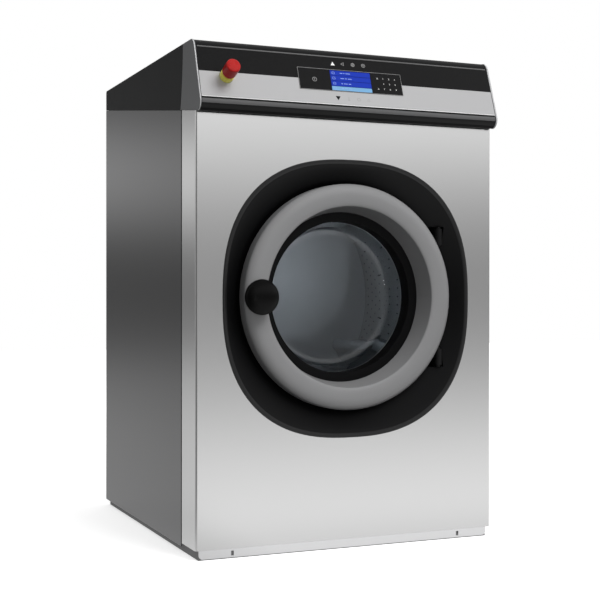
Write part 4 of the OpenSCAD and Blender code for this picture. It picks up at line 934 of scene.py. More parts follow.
    def graded(self, tree: Tree, rise: object, levels: Sequence[Flat]) -> object:
        """Gives a grey that changes softly up the wall.

        Args:
            tree: the wall's node tree.
            rise: the height as a share of the wall's.
            levels: share of the height and the grey there.

        Returns:
            The output with the grey.
        """
        node = add_node(tree, "ValToRGB", {0: rise})
        ramp = node.color_ramp
        ramp.interpolation = "B_SPLINE"
        while len(ramp.elements) < len(levels):
            ramp.elements.new(0.5)
        for element, (at, level) in zip(ramp.elements, levels):
            element.position = at
            element.color = (*[level / self.glow] * 3, 1.0)
        return node.outputs[0]

    def lamp(self, name: str, place: Point, size: float, watts: float) -> None:
        """Hangs one large soft lamp aimed at the machine's middle.

        Args:
            name: the lamp's name.
            place: where it hangs, in millimetres.
            size: the side of its square face, in millimetres.
            watts: its power.
        """
        light = bpy.data.lights.new(name, "AREA")
        light.size, light.energy = size * MM, watts
        lamp = aimed(name, light, place, Vector((0.0, 0.0, DOOR_Z)) - Vector(place))
        lamp.visible_glossy = lamp.visible_transmission = False

    def spot(self) -> None:
        """Sets a narrow lamp that shines through the door's glass into the drum."""
        light = bpy.data.lights.new("lamp_drum", "SPOT")
        light.energy, light.spot_size = self.drum_watts, math.radians(self.drum_cone_deg)
        light.spot_blend, light.shadow_soft_size = 0.5, 0.15
        lamp = aimed("lamp_drum", light, self.drum_lamp, Vector(self.drum_aim) - Vector(self.drum_lamp))
        lamp.visible_transmission = False


@dataclass(frozen=True)
class Face:
    """The leaning control face: places things by X and by the distance up from its lower edge."""

    low_y: float = -404.7
    low_z: float = 954.6
    lean_deg: float = 19.37

    def at(self, x: float = 0.0, up: float = 0.0, out: float = 0.0) -> Matrix:
        """Gives the placing matrix of a point on the face.

        Args:
            x: place across, from the machine's middle.
            up: distance up the face from its lower edge.
            out: distance in front of the face.

        Returns:
            A matrix whose local X runs right, Y up the face and Z outwards.
        """
        lean = math.radians(self.lean_deg)
        rise = Vector((0, math.sin(lean), math.cos(lean)))
        outward = Vector((0, -math.cos(lean), math.sin(lean)))
        place = Vector((0, self.low_y, self.low_z)) + rise * up + outward * out
        turn = Matrix((Vector((1, 0, 0)), rise, outward)).transposed().to_4x4()
        turn.translation = Vector((x, place.y, place.z))
        return turn


def dress_nodes(finish: Finish, names: str) -> None:
    """Gives the CAD nodes named in a line of text one finish."""
    for name in names.split():
        mesh = frame["nodes"][name].data
        for number in range(max(1, len(mesh.materials))):
            if mesh.materials:
                mesh.materials[number] = finish.material()
            else:
                mesh.materials.append(finish.material())
        LOG.info("%s is %s", name, finish.name)


class Drive(Enum):
    """Heads of the machine's small fasteners, by the facets of their outline."""

    HEX = 6
    ROUND = 28


@dataclass(frozen=True)
class Screw:
    """A small fastener's head with its washer, made once and set in many places."""

    radius: float = 4.2
    height: float = 2.8
    kind: Drive = Drive.ROUND
    washer: float = 1.5

    def add_to(self, shape: Shape, place: Matrix) -> None:
        """Adds the head, its washer and the recess or chamfer on top.

        Args:
            shape: the shape that gathers them.
            place: its seat, with the local Z axis out of the surface.
        """
        r, h, rim = self.radius, self.height, self.radius * self.washer
        shape.turned([(0, 0), (rim, 0), (rim, 0.5), (rim - 0.3, 0.7), (0, 0.7)], place, Drive.ROUND.value)
        if self.kind is Drive.HEX:
            profile = [(r, 0.6), (r, h - 0.5), (r * 0.86, h), (r * 0.5, h), (r * 0.45, h - 0.4), (0, h - 0.4)]
        else:
            dome = [(r * math.cos(t), 0.6 + (h - 0.6) * math.sin(t)) for t in (0.0, 0.35, 0.7, 1.05)]
            profile = [*dome, (r * 0.42, h), (r * 0.34, h * 0.45), (0, h * 0.4)]
        shape.turned([(0, 0.6), *profile], place, self.kind.value)

    def piece(self, name: str, body: str, places: Sequence[Matrix]) -> None:
        """Sets the fastener at many places, as one zinc-plated piece."""
        shape = Shape()
        for place in places:
            self.add_to(shape, place)
        shape.piece(name, ZINC, body)


@dataclass
class Cabinet:
    """Sheet-metal housing with its front, sides, top, base frame and small fasteners."""

    slot_x: float = 271.5
    slot_d: float = 8.2
    slot_z: float = 11.0
    cover_x: Flat = (-225.0, 225.0)
    cover_z: tuple[float, ...] = (192.0, 387.0, 582.0, 777.0)
    cover_mid_x: Flat = (-75.0, 75.0)
    cover_end_z: Flat = (190.0, 780.0)
    rim_x: Flat = (-344.0, 344.0)
    rim_z: tuple[float, ...] = (60.0, 360.0, 660.0, 960.0)

    def build(self) -> None:
        """Dresses the panels and adds the painted shade in the plinth's slots and the rear screws."""
        dress_nodes(STAINLESS, "front_panel")
        dress_nodes(COATED_SIDE, "side_panel_left side_panel_right")
        dress_nodes(COATED_TOP, "top_cover")
        dress_nodes(POWDER_PALE, "base_frame")
        dress_nodes(STAINLESS_ACROSS, "plinth_strip")
        dress_nodes(GALVANISED, "rear_panel drive_cover tub_supports")
        self.painted_slot_shades()
        self.rear_screws()

    def painted_slot_shades(self) -> None:
        """Fills the two slots of the plinth strip with dark plates as painted shade."""
        shape = Shape()
        for side in (-1, 1):
            place = looking((side * self.slot_x, FRONT_Y + self.slot_d, self.slot_z), (0, -1, 0))
            # Dark plates in the slots: painted shade.
            shape.plate(round_rect(5.4, 9.4, 2.4), -1.0, 0.6, place)
        shape.piece("plinth_slot_painted_shade", EPDM, bevel_mm=0.3)

    def rear_screws(self) -> None:
        """Sets the screws round the drive cover and down the rear panel's edges."""
        spots = [(x, 0.0, z) for x in self.cover_x for z in self.cover_z]
        spots += [(x, 0.0, z) for x in self.cover_mid_x for z in self.cover_end_z]
        spots += [(x, -1.0, z) for x in self.rim_x for z in self.rim_z]
        Screw().piece("rear_screws", "cabinet", [looking((x, REAR_Y + y, z), (0, 1, 0)) for x, y, z in spots])


@dataclass
class Console:
    """Control console: moulding, face films, screen, icons and keypad. The badge's place stays bare."""

    face: Face = Face()
    film: float = 0.8
    frame_out: float = 1.6
    half: float = 350.0
    lip_y: float = -386.7
    lip_z: float = 952.0
    lip_r: float = 18.0
    nose_y: float = -340.1
    nose_z: float = 1063.0
    nose_r: float = 24.9
    screen_x: float = -3.0
    screen_w: float = 97.0
    screen_low: float = 42.0
    screen_high: float = 90.0
    chosen_high: float = 52.0
    pale_line: Flat = (122.4, 125.2)
    band_edge: Flat = (7.0, 8.1)
    band_groove: Flat = (3.2, 6.9)
    display: tuple[float, float, Flat] = (248.0, 52.0, (-3.0, 66.0))
    ink: float = 0.12
    icons_up: float = 107.6
    row_bars: tuple[Point, ...] = ((4.0, 9.0, 6.0), (8.0, 5.0, 9.0), (6.0, 3.0, 11.0), (5.0, 7.0, 8.0))

    def build(self) -> None:
        """Dresses the console and prints what its face shows."""
        dress_nodes(ABS_CONSOLE, "console_shell")
        dress_nodes(CHEEK_GREY, "console_cheeks")
        dress_nodes(FILM_SILVER, "fascia_silver_band")
        dress_nodes(FILM_BLACK, "fascia_black_band display_frame")
        dress_nodes(SCREEN_DEEP, "lcd_window")
        dress_nodes(SOLDER_MASK, "control_board")
        self.light_lines()
        self.screen_rows()
        self.icons()
        self.keypad()

    def strip(
        self, shape: Shape, x0: float, x1: float, low: float, high: float, out: float, thick: float = ink
    ) -> None:
        """Adds a thin printed rectangle to a shape, given in X and distance up the face."""
        shape.plate([(x0, low), (x1, low), (x1, high), (x0, high)], out, out + thick, self.face.at())

    def light_lines(self) -> None:
        """Prints the pale line above the black band and the display's outline with a painted glow, the silver
        band's edge line as a painted highlight and its groove as painted shade, and adds the lip's and
        cheeks' painted strips.
        """
        for name, finish, where in (
            ("console_pale_line", INK_SOFT_PAINTED_GLOW, (2 - self.half, self.half - 2, *self.pale_line, 0.0, 0.5)),
            # The white line on the silver band's edge is a painted highlight.
            ("silver_band_edge_painted_highlight", INK_PALE_PAINTED_GLOW, (-self.half, self.half, *self.band_edge, self.film + 0.02)),
            # The black strip in the groove under the silver band is painted shade.
            ("silver_band_groove_painted_shade", INK_BLACK_AND_PAINTED_SHADE, (-self.half, self.half, *self.band_groove, 0.02, 0.1)),
        ):
            shape = Shape()
            self.strip(shape, *where)
            shape.piece(name, finish)
        self.lip_painted_highlight()
        self.cheek_edge_highlights()
        edge = Shape()
        wide, high, middle = self.display
        outer = round_rect(wide, high, 1.2, 2, middle)
        inner = round_rect(wide - 1.4, high - 1.4, 0.6, 2, middle)
        edge.frame_plate(outer, inner, self.frame_out + 0.01, self.frame_out + 0.16, self.face.at())
        edge.piece("display_outline", INK_GREY_PAINTED_GLOW)

    def lip_painted_highlight(self) -> None:
        """Lays a satin grey strip along the top of the lip as a painted highlight, and a dull black strip
        under it as painted shade.
        """
        for name, finish, turns, rise in (
            # The grey strip is a painted highlight and the black strip painted shade.
            ("lip_painted_highlight", ABS_LIP_PAINTED_HIGHLIGHT, (162.0, 168.0, 174.0, 180.0, 186.0, 192.0), 0.35),
            ("lip_painted_shade", EPDM, (232.0, 242.0, 252.0, 262.0, 269.0), 0.3),
        ):
            shape = Shape()
            for radius in (self.lip_r + rise, self.lip_r - 1.0):
                bow = arc(radius, turns, (self.lip_y, self.lip_z))
                shape.points += [(x, y, z) for x in (-self.half, self.half) for y, z in bow]
            n = len(turns)
            for layer in (0, 2 * n):
                for i in range(layer, layer + n - 1):
                    shape.faces.append([i, i + 1, n + i + 1, n + i])
            rim = [*range(n), *range(2 * n - 1, n - 1, -1)]
            shape.faces += [[a, b, b + 2 * n, a + 2 * n] for a, b in zip(rim, rim[1:] + rim[:1])]
            shape.piece(name, finish, sharp_deg=30.0)

    def cheek_edge_highlights(self) -> None:
        """Runs a pale bead up the rolled front edge of each cheek, from under the lip to the top, as a
        painted highlight.
        """
        low = arc(self.lip_r - 0.1, range(264, 180, -12), (self.lip_y, self.lip_z))
        high = arc(self.nose_r, range(160, 118, -10), (self.nose_y, self.nose_z))
        shape = Shape()
        for x in (-self.half - 3.3, self.half + 3.3):
            shape.tube([(x, y, z) for y, z in (*low, (-404.66, 954.4), *high)], 1.5, 10)
        shape.piece("cheek_edge_painted_highlights", CHEEK_EDGE_PAINTED_HIGHLIGHT)

    def screen_rows(self) -> None:
        """Lights the three blue rows, the chosen pale row, and their plain marks."""
        out = self.frame_out + 0.05
        rows, chosen, marks = Shape(), Shape(), Shape()
        x0, x1 = self.screen_x - self.screen_w / 2, self.screen_x + self.screen_w / 2
        row = (self.screen_high - self.chosen_high) / 3
        for i in range(3):
            low = self.chosen_high + i * row
            self.strip(rows, x0 + 0.6, x1 - 0.6, low + 0.7, low + row - 0.5, out)
            self.row_marks(marks, x0, low + row / 2, i, out)
        rows.piece("screen_rows", SCREEN_BLUE)
        self.strip(chosen, x0 + 0.6, x1 - 0.6, self.screen_low - 0.4, self.chosen_high - 0.6, out)
        chosen.piece("screen_chosen_row", SCREEN_PALE)
        self.row_marks(marks, x0, (self.screen_low + self.chosen_high) / 2, 3, out)
        marks.piece("screen_marks", SCREEN_MARK)

    def row_marks(self, shape: Shape, x0: float, middle: float, number: int, out: float) -> None:
        """Adds a row's symbol and the short bars that stand for its setting.

        Args:
            shape: the shape that gathers the marks.
            x0: the screen's left edge.
            middle: the row's middle, up the face.
            number: the row's number, which varies the bars.
            out: distance in front of the face.
        """
        low, thick, centre = out + self.ink, 0.08, (x0 + 8.0, middle)
        outer, inner = round_rect(7.0, 6.0, 1.6, 3, centre), round_rect(5.8, 4.8, 1.2, 3, centre)
        shape.frame_plate(outer, inner, low, low + thick, self.face.at())
        self.strip(shape, x0 + 4.8, x0 + 11.2, middle - 0.3, middle + 0.3, low, thick)
        start = x0 + 24.0
        for step, width in enumerate(self.row_bars[number]):
            self.strip(shape, start, start + width, middle - 0.7 + 0.2 * (step % 2), middle + 0.9, low, thick)
            start += width + 2.2

    def outline_icon(
        self, shape: Shape, x: float, up: float, size: float, facets: int, start: float, out: float
    ) -> None:
        """Adds an outlined polygon or ring to a shape.

        Args:
            shape: the shape that gathers it.
            x: its middle across.
            up: its middle up the face.
            size: its outer radius.
            facets: its count of sides.
            start: the turn of its first corner, in degrees.
            out: distance in front of the face.
        """
        outer = ring_outline(size, facets, (x, up), start)
        inner = ring_outline(size - (1.1 if facets > 8 else 1.6), facets, (x, up), start)
        shape.frame_plate(outer, inner, out, out + self.ink, self.face.at())

    def icons(self) -> None:
        """Prints the arrows and symbols above and below the display and at its left."""
        film, glass, up = self.film + 0.02, self.frame_out + 0.02, self.icons_up
        for name, finish, out, arrows, bars, rings in (
            ("icon_arrow_up", INK_PALE_PAINTED_GLOW, film, [[(-46.0, 102.6), (-36.0, 102.6), (-41.0, 111.4)]], [], []),
            ("icons_upper", INK_GREY_PAINTED_GLOW, film, [], [], [
                (-17.0, up, 5.0, 3, 180.0), (7.4, up, 4.8, 6, 30.0), (7.4, up, 2.0, 16, 0.0),
                (33.0, up, 4.6, 28, 0.0), (33.0, up, 2.2, 4, 45.0),
            ]),
            ("icon_arrow_down", INK_BLACK_AND_PAINTED_SHADE, film, [[(-39.6, 18.2), (-33.8, 28.2), (-45.4, 28.2)]], [], []),
            ("icons_lower", INK_FAINT, film, [], [(-15.2, -13.6, 19.0, 27.0), (-17.0, -11.8, 19.0, 20.2)], [
                (9.6, 23.0, 4.6, 6, 0.0), (33.0, 22.5, 4.4, 3, 90.0),
            ]),
            ("icon_start", INK_GREY_PAINTED_GLOW, glass, [], [(-90.3, -89.1, 63.2, 67.4)], [(-89.7, 65.0, 5.2, 32, 0.0)]),
        ):
            marks = Shape()
            for corners in arrows:
                marks.plate(corners, out, out + self.ink, self.face.at())
            for bar in bars:
                self.strip(marks, *bar, out)
            for ring in rings:
                self.outline_icon(marks, *ring, out)
            marks.piece(name, finish)

    def keypad(self) -> None:
        """Prints the keypad's plain digits and its clear mark."""
        out = self.frame_out + 0.02
        cross = Shape()
        for turn in (45.0, -45.0):
            bar = self.face.at(62.0, 78.1, out) @ Matrix.Rotation(math.radians(turn), 4, "Z")
            cross.plate([(-2.4, -0.35), (2.4, -0.35), (2.4, 0.35), (-2.4, 0.35)], 0.0, 0.1, bar)
        cross.piece("key_clear_mark", INK_PALE_PAINTED_GLOW)
        for up, keys in (
            (78.1, (("1", 76.2), ("2", 90.3), ("3", 104.4))),
            (65.4, (("4", 76.2), ("5", 90.4), ("6", 104.7))),
            (52.2, (("0", 61.7), ("7", 76.1), ("8", 90.5), ("9", 105.0))),
        ):
            for sign, x in keys:
                self.digit(f"key_{sign}_mark", sign, self.face.at(x, up, out))

    def digit(self, name: str, sign: str, place: Matrix, size: float = 5.4) -> None:
        """Prints one plain digit.

        Args:
            name: the piece's name.
            sign: the digit.
            place: its middle on the face.
            size: its height, in millimetres.
        """
        text = bpy.data.curves.new(name, "FONT")
        text.body, text.size = sign, size * MM
        text.align_x, text.align_y = "CENTER", "CENTER"
        text.extrude = 0.05 * MM
        holder = link_new(name + "_curve", text)
        mesh = shown_mesh(holder)
        bpy.data.objects.remove(holder)
        turn = place.copy()
        turn.translation = place.translation * MM
        mesh.transform(turn)
        mesh.name = name
        place_mesh(name, mesh, INK_PALE_PAINTED_GLOW, "cabinet")


@dataclass
class StopButton:
    """Emergency stop: yellow collar, red twist-release head and what holds them."""

    x: float = -291.0
    up: float = 56.0
    head_top: float = 50.0
    arrow_deg: float = 62.0
    arrow_shaft: Flat = (8.6, 10.2)
    arrow_head: Point = (7.2, 9.4, 11.8)
    face: Face = Face()

    def build(self) -> None:
        """Dresses the button and adds its arrows."""
        dress_nodes(STOP_YELLOW, "estop_collar")
        dress_nodes(STOP_RED, "estop_head")
        dress_nodes(NYLON_BLACK, "estop_plunger estop_contact_block")
        self.arrows()

    def arrows(self) -> None:
        """Raises three short turning arrows on the head's top."""
        shape, (low, high), (inner, tip, outer) = Shape(), self.arrow_shaft, self.arrow_head
        for start in (0.0, 120.0, 240.0):
            turns = [start + self.arrow_deg * k / 8 for k in range(9)]
            head = [*arc(outer, turns[-1:]), *arc(tip, [turns[-1] + 12.0]), *arc(inner, turns[-1:])]
            outline = [*arc(high, turns), *head, *arc(low, turns[::-1])]
            shape.plate(outline, -1.2, -0.45, self.face.at(self.x, self.up, self.head_top))
        shape.piece("stop_head_arrows", STOP_RED, "stop_head")


@dataclass
class DoorSurround:
    """Dished black surround: a squircle rim swept smoothly into the round door opening."""

    width: float = 591.0
    height: float = 606.0
    power: float = 2.5
    rim: float = 7.0
    dish_r: float = 253.0
    wall: float = 2.5
    throat_r: float = 209.8
    middle_z: float = 545.1
    drop: float = 3.6
    around: int = 224
    between: int = 4
    highlight_depth: float = 0.35
    windows: tuple[tuple[Point, Point], ...] = (
        ((205.0, -20.0, DOOR_Z + 113.0), (239.0, 60.0, DOOR_Z + 159.0)),
        ((205.0, -20.0, DOOR_Z - 159.0), (239.0, 60.0, DOOR_Z - 113.0)),
        ((-241.0, 30.0, DOOR_Z - 24.0), (-205.5, 60.0, DOOR_Z + 32.0)),
    )

    def build(self) -> None:
        """Sweeps the surround, cuts its windows and puts it in the faceted node's place."""
        rings = self.sections()
        points = [p for ring in rings for p in self.ring(ring)]
        mesh = self.with_windows(points, skin(len(rings), self.around, True))
        piece = place_mesh("door_surround_smooth", mesh, ABS_BLACK, "cabinet", sharp_deg=40.0)
        # The faces of the rolled edge take the paler finish: a painted highlight.
        mesh.materials.append(ABS_EDGE_PAINTED_HIGHLIGHT.material())
        for face in mesh.polygons:
            if face.center.y < (FRONT_Y + self.highlight_depth) * MM:
                face.material_index = 1
        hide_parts("door_surround")
        dress_nodes(ABS_BLACK, "surround_collar")
        dress_nodes(EPDM_GASKET, "door_gasket")

    def sections(self) -> list[tuple[float, ...]]:
        """Lists the rings: rolled edge, the dish's visible side, its hidden side and the edge's back.

        Returns:
            Half width, half height, power, depth and share of the drop of each ring.
        """
        w, h, p, rim, t, r = self.width / 2, self.height / 2, self.power, self.rim, self.wall, self.dish_r
        edge = [
            (0.0, 0.0), (0.18, -0.9), (0.6, -1.6), (rim * 0.3, -2.05), (rim * 0.6, -2.2), (rim * 0.85, -1.7),
            (rim + t * 0.5, -0.8),
        ]
        front = [
            (w - rim - t, h - rim - t, p, 0.5, 0.05), (w - 2 * rim, h - 2.4 * rim, 0.96 * p, 5.0, 0.2),
            (r + 17, r + 19, 2.2, 17.0, 0.6), (r + 5, r + 5, 2.05, 28.0, 0.9), (r - 3, r - 3, 2.0, 37.0, 1.0),
            (r - 12, r - 12, 2.0, 42.0, 1.0), (self.throat_r, self.throat_r, 2.0, 42.0, 1.0),
        ]
        back = [
            (self.throat_r, self.throat_r, 2.0, 44.5, 1.0), (r - 11, r - 11, 2.0, 44.5, 1.0),
            (r - 0.4, r - 0.4, 2.0, 39.5, 1.0), (r + 7.4, r + 7.4, 2.05, 30.5, 0.9),
            (r + 19, r + 21, 2.2, 19.5, 0.6), (w - 2 * rim + t / 2, h - 2.4 * rim + t, 0.96 * p, 7.5, 0.2),
        ]
        return [
            *((w - inset, h - inset, p, depth, 0.0) for inset, depth in edge),
            *self.refined(front), *self.refined(back),
            (w - rim, h - rim, p, 2.0, 0.05), (w - rim, h - rim, p, 0.0, 0.0),
        ]

    def refined(self, rings: Sequence[tuple[float, ...]]) -> list[tuple[float, ...]]:
        """Puts rings between the given ones along a smooth curve through them."""
        made: list[tuple[float, ...]] = []
        for i in range(len(rings) - 1):
            before, here = rings[max(i - 1, 0)], rings[i]
            ahead, after = rings[i + 1], rings[min(i + 2, len(rings) - 1)]
            for k in range(self.between):
                s = k / self.between
                made.append(tuple(
                    0.5 * (2 * b + (c - a) * s + (2 * a - 5 * b + 4 * c - d) * s * s
                           + (3 * b - a - 3 * c + d) * s ** 3)
                    for a, b, c, d in zip(before, here, ahead, after)
                ))
        return [*made, rings[-1]]

    def ring(self, section: Sequence[float]) -> list[Point]:
        """Gives the points of one ring of the sweep."""
        half_w, half_h, power, depth, share = section
        points = []
        for i in range(self.around):
            turn = 2 * math.pi * i / self.around
            c, s = math.cos(turn), math.sin(turn)
            x = math.copysign(half_w * abs(c) ** (2 / power), c)
            z = math.copysign(half_h * abs(s) ** (2 / power), s)
            points.append((x, FRONT_Y + depth, self.middle_z + self.drop * share + z))
        return points

    def with_windows(self, points: Sequence[Point], faces: Faces) -> bpy.types.Mesh:
        """Cuts the openings for the hinge knuckles and the latch.

        Args:
            points: the swept shell's corners.
            faces: its faces.

        Returns:
            The cut mesh, in metres.
        """
        shell = link_new("surround_shell", plain_mesh("surround_shell", points, faces))
        inwards, cutters = looking((0, 0, 0), (0, 1, 0)), []
        for number, (low, high) in enumerate(self.windows):
            box, middle = Shape(), ((low[0] + high[0]) / 2, (low[2] + high[2]) / 2)
            outline = round_rect(high[0] - low[0], high[2] - low[2], 3.0, 5, middle)
            box.plate([(-x, z) for x, z in outline], low[1] + FRONT_Y, high[1] + FRONT_Y, inwards)
            name = f"surround_window_{number}"
            cutter = link_new(name, plain_mesh(name, box.points, box.faces))
            cut = shell.modifiers.new("window", "BOOLEAN")
            cut.operation, cut.solver, cut.object = "DIFFERENCE", "EXACT", cutter
            cutters.append(cutter)
        mesh = shown_mesh(shell)
        for spare in (shell, *cutters):
            bpy.data.objects.remove(spare)
        mesh.name = "door_surround_smooth"
        return mesh


@dataclass
class Door:
    """Round door with its glass bowl, hinge, knob and lock."""

    flange_r: float = 189.3
    flange_d: float = 82.0
    mouth_r: float = 167.5
    end_r: float = 150.0
    end_d: float = 122.0
    glass: float = 6.0

    def build(self) -> None:
        """Dresses the door's nodes and presses the bowl."""
        self.bowl()
        dress_nodes(RING_ENAMEL, "door_ring")
        dress_nodes(GALVANISED, "door_back_frame")
        dress_nodes(EPDM, "glass_seal")
        dress_nodes(OXIDE_BLACK, "hinge_arms hinge_bracket hinge_pins")
        dress_nodes(PHENOLIC, "door_knob")
        dress_nodes(ZINC, "latch_spindle")
        dress_nodes(NYLON_BLACK, "door_lock_housing")
        dress_nodes(TURNED, "lock_bolt")

    def bowl(self) -> None:
        """Presses the glass: a flange, a steep wall and a nearly flat end, all of one thickness."""
        t, f, r, e, d = self.glass, self.flange_d, self.mouth_r, self.end_r, self.end_d
        front = [
            (self.flange_r, f), (r + 3, f), (r + 0.8, f + 0.5), (r - 1, f + 2.2), (e + 7, d - 12),
            (e + 4.6, d - 6.6), (e + 0.6, d - 2.6), (e - 5, d - 0.9), (e - 12, d - 0.2),
        ]
        middle = [(e * 0.6, d + 1.2), (e * 0.3, d + 2.2), (0.0, d + 2.6)]
        back = [
            *((radius, depth + t) for radius, depth in reversed(middle)), (e - 10, d + t - 0.4),
            (e - 2, d + t - 1.4), (e + 5, d + t - 4.6), (e + 10, d + t - 10), (e + 13, d - 10),
            (r + 5.2, f + t + 2), (r + 7, f + t), (self.flange_r, f + t),
        ]
        shape = Shape()
        shape.turned([*front, *middle, *back], looking((0.0, FRONT_Y, DOOR_Z), (0.0, 1.0, 0.0)), 144, True)
        piece = shape.piece("door_glass_bowl", BOWL_GLASS, "door", sharp_deg=50.0)
        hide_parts("door_glass")


class Works:
    """Tub, drum, motor, hoses and valves: what turns, heats, fills and drains."""

    def build(self) -> None:
        """Dresses the works' nodes."""
        dress_nodes(DRUM_STEEL, "outer_tub tub_rear_plate drum_lifters")
        dress_nodes(DRUM_PUNCHED, "drum_shell")
        dress_nodes(CAST_ALUMINIUM, "drum_spider drum_pulley")
        dress_nodes(CAST_IRON, "bearing_housing")
        dress_nodes(TURNED, "drum_bearings temperature_probe motor_rotor drain_ball")
        dress_nodes(EPDM, "shaft_seal sump_hose fill_hoses")
        dress_nodes(HEATER_SHEATH, "heater_elements")
        dress_nodes(POWDER_DARK, "motor_body")
        dress_nodes(GALVANISED, "motor_bracket")
        dress_nodes(BELT_RUBBER, "v_belt")
        dress_nodes(POLYPROPYLENE_GREY, "drain_valve_body vent_pipe")
        dress_nodes(NYLON_WHITE, "drain_actuator inlet_valves pressure_switch")
        dress_nodes(NYLON_BLACK, "mains_gland")
        dress_nodes(POLYPROPYLENE, "soap_box")
        dress_nodes(COATED_TOP, "soap_lid")


@dataclass
class Hardware:
    """Small fasteners, threads, clamps and board parts that the solids leave out."""

    frame_screw_r: float = 224.0
    frame_screw_d: float = 30.9
    frame_screws: tuple[int, ...] = (0, 65, 90, 115, 145, 215, 245, 270, 295)
    inlet_x: tuple[float, float] = (70.0, 120.0)
    inlet_z: float = 930.0
    inlet_d: float = 757.0
    thread_root: float = 13.05
    thread_crest: float = 13.45
    thread_step: float = 0.9
    strainer_d: float = 769.9
    strainer_gap: float = 2.6
    hub_bolt_r: float = 84.0
    hub_bolt_d: float = 604.6
    foot_x: tuple[float, float] = (-230.0, -54.0)
    foot_d: tuple[float, float] = (457.0, 678.0)
    foot_z: float = 26.0
    nut_d: float = 725.9
    heater_r: float = 321.0
    heater_half: float = 13.0
    heater_d: float = 611.0
    heater_turns: tuple[int, ...] = (-14, 0, 14)
    lock_x: float = -236.0
    lock_d: float = 91.9
    lock_rise: float = 37.0
    clamp_d: float = 310.0
    clamp_r: float = 38.7
    clamp_z: tuple[float, float] = (140.5, 186.5)
    worm_out: float = 5.2
    board_back: float = -15.9
    earth: Point = (-300.0, REAR_Y - 0.1, 70.0)

    def build(self) -> None:
        """Makes every group of small parts."""
        self.door_screws()
        self.inlet_threads()
        self.strainers()
        self.hub_bolts()
        self.motor_bolts()
        self.shaft_nut()
        self.heater_terminals()
        self.lock_screws()
        self.hose_clamps()
        self.board_parts()
        self.earth_stud()

    def behind(self, x: float, depth: float, z: float) -> Matrix:
        """Gives a place whose local Z axis looks to the rear, at a depth behind the front panel's face."""
        return looking((x, FRONT_Y + depth, z), (0.0, 1.0, 0.0))

    def door_screws(self) -> None:
        """Screws the door's back frame to the casting all round, clear of hinge and latch."""
        ring = arc(self.frame_screw_r, self.frame_screws, (0.0, DOOR_Z))
        screw = Screw(3.0, 2.2, Drive.ROUND, 1.4)
        screw.piece("door_frame_screws", "door", [self.behind(x, self.frame_screw_d, z) for x, z in ring])

    def inlet_threads(self) -> None:
        """Cuts the pipe thread on the two water inlets."""
        shape = Shape()
        edges = (self.thread_root, self.thread_crest)
        ridges = [(edges[k % 2], self.thread_step * k) for k in range(13)]
        core = self.thread_root - 0.45
        for x in self.inlet_x:
            place = self.behind(x, self.inlet_d, self.inlet_z)
            shape.turned([(core, 0.0), *ridges, (core, ridges[-1][1])], place, 40, True)
        shape.piece("inlet_threads", NYLON_WHITE, sharp_deg=50.0)

    def strainers(self) -> None:
        """Closes each inlet with a strainer: a pale ring with crossed bars, before a black disc of painted
        shade in the mouth.
        """
        mouth_shades, grids = Shape(), Shape()
        for x in self.inlet_x:
            place = self.behind(x, self.strainer_d, self.inlet_z)
            # The black disc in the inlet's mouth is painted shade.
            mouth_shades.plate(ring_outline(9.9, 32), 0.0, 0.2, place)
            grids.turned([(11.8, 0.0), (11.8, 0.8), (9.7, 0.8), (9.7, 0.0)], place, 40, True)
            for k in range(-3, 4):
                aside = self.strainer_gap * k
                length = 2 * math.sqrt(9.8 ** 2 - aside ** 2)
                grids.plate(round_rect(0.7, length, 0.2, 2, (aside, 0.0)), 0.1, 0.5, place)
                grids.plate(round_rect(length, 0.7, 0.2, 2, (0.0, aside)), 0.1, 0.5, place)
        mouth_shades.piece("inlet_mouth_painted_shade", EPDM)
        grids.piece("inlet_strainers", POLYPROPYLENE)

    def hub_bolts(self) -> None:
        """Bolts the bearing housing to the tub's rear plate between its ribs."""
        ring = arc(self.hub_bolt_r, range(30, 390, 60), (0.0, DOOR_Z))
        bolt = Screw(7.0, 7.5, Drive.HEX, 1.4)
        bolt.piece("bearing_housing_bolts", "cabinet", [self.behind(x, self.hub_bolt_d, z) for x, z in ring])

    def motor_bolts(self) -> None:
        """Bolts the motor's bracket down at its corners."""
        corners = [(x, FRONT_Y + depth, self.foot_z) for x in self.foot_x for depth in self.foot_d]
        bolt = Screw(7.0, 7.5, Drive.HEX, 1.5)
        bolt.piece("motor_bracket_bolts", "cabinet", [looking(corner, (0.0, 0.0, 1.0)) for corner in corners])

    def shaft_nut(self) -> None:
        """Locks the drum's pulley with a nut on the shaft's stub."""
        shape = Shape()
        place = self.behind(0.0, self.nut_d, DOOR_Z)
        shape.turned([(0.0, 0.0), (21.5, 0.0), (21.5, 1.6), (0.0, 1.6)], place, 48)
        shape.plate(ring_outline(19.0, 6), 1.6, 10.0, place)
        shape.piece("pulley_nut", ZINC, "drum", 0.6)

    def heater_terminals(self) -> None:
        """Sets a nut and a flat tag on each heating rod's end."""
        nuts = Shape()
        for angle in self.heater_turns:
            c, s = math.cos(math.radians(angle)), math.sin(math.radians(angle))
            for across in (-self.heater_half, self.heater_half):
                x, down = across * c - self.heater_r * s, across * s + self.heater_r * c
                place = self.behind(x, self.heater_d, DOOR_Z - down)
                nuts.plate(ring_outline(6.0, 6), 0.0, 3.2, place)
                nuts.plate(round_rect(6.3, 12.0, 1.2, 4, (0.0, 4.0)), 3.2, 4.0, place)
        nuts.piece("heater_terminals", BRASS, bevel_mm=0.2)

    def lock_screws(self) -> None:
        """Closes the door lock's housing with its two cover screws."""
        screw = Screw(2.8, 2.0, Drive.ROUND, 1.3)
        heights = (DOOR_Z - self.lock_rise, DOOR_Z + self.lock_rise)
        places = [self.behind(self.lock_x, self.lock_d, z) for z in heights]
        screw.piece("lock_housing_screws", "cabinet", places)

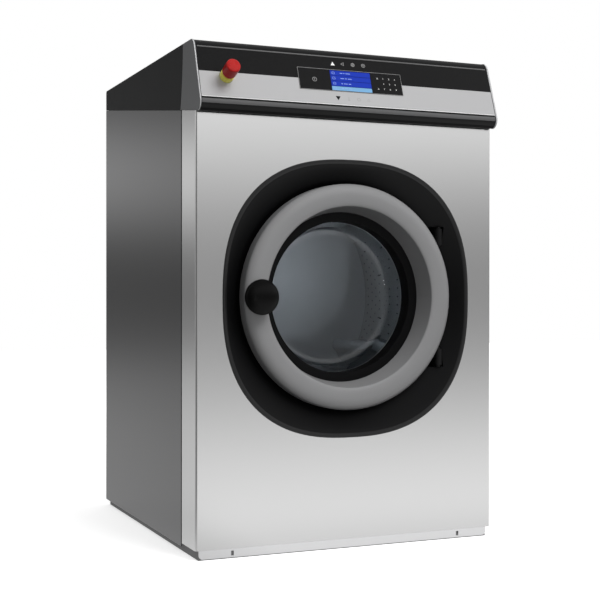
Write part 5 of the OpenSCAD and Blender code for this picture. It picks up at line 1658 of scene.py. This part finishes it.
    def hose_clamps(self) -> None:
        """Gives both clamps of the sump hose their worm housing and screw."""
        shape = Shape()
        (out, along), middle = arc(1.0, (-125, -35)), (0.0, FRONT_Y + self.clamp_d)
        screw = [(0, -9.5), (3.2, -9.5), (3.2, 9.0), (4.4, 9.0), (4.4, 12.0), (0, 12.0)]
        for z in self.clamp_z:
            reaches = (self.clamp_r, self.clamp_r + self.worm_out)
            seat, worm = ((middle[0] + r * out[0], middle[1] + r * out[1], z) for r in reaches)
            shape.plate(round_rect(15.0, 9.4, 1.6), -0.8, 4.8, looking(seat, (*out, 0.0)))
            shape.turned(screw, looking(worm, (*along, 0.0)), 20)
        shape.piece("hose_clamp_worms", ZINC, bevel_mm=0.3)

    def board_parts(self) -> None:
        """Fills the back of the control board with chips, capacitors and terminals."""
        face, chips, cans, terminals = Face(), Shape(), Shape(), Shape()
        back = self.board_back
        for x, up, wide, high in (
            (-95.0, 82.0, 14.0, 14.0), (-78.0, 60.0, 10.0, 18.0), (-98.0, 58.0, 12.0, 8.0),
            (47.0, 74.0, 8.0, 16.0),
        ):
            chips.plate(round_rect(wide, high, 0.8, 3), -2.4, 0.2, face.at(x, up, back))
        can = [(0, 0.2), (4.2, 0.2), (4.2, -9.4), (3.6, -10.0), (0, -10.0)]
        for x, up in ((-104.0, 38.0), (-92.0, 38.0), (-80.0, 38.0), (47.0, 50.0)):
            cans.turned(can, face.at(x, up, back), 24)
        for k in range(5):
            terminals.plate(round_rect(10.0, 9.0, 0.6, 3), -10.5, 0.2, face.at(-55.0 + 11.2 * k, 30.0, back))
        chips.piece("board_chips", NYLON_BLACK)
        cans.piece("board_capacitors", CAST_ALUMINIUM)
        terminals.piece("board_terminals", POLYPROPYLENE)

    def earth_stud(self) -> None:
        """Sets the earth stud with its washer and nut low on the rear panel."""
        shape = Shape()
        place = looking(self.earth, (0.0, 1.0, 0.0))
        shape.turned([(0, 0), (9.0, 0), (9.0, 1.2), (0, 1.2)], place, 32)
        shape.plate(ring_outline(6.6, 6), 1.2, 6.2, place)
        shape.turned([(0, 6.0), (3.9, 6.0), (3.9, 13.4), (3.3, 14.0), (0, 14.0)], place, 24)
        shape.piece("earth_stud", BRASS)


def main() -> None:
    """Builds the looks of every sub-assembly and the studio round them."""
    logging.basicConfig(level=logging.INFO, format="%(name)s: %(message)s")
    for part in (Cabinet, Console, StopButton, DoorSurround, Door, Works, Hardware, Studio):
        part().build()


if __name__ == "__main__":
    main()
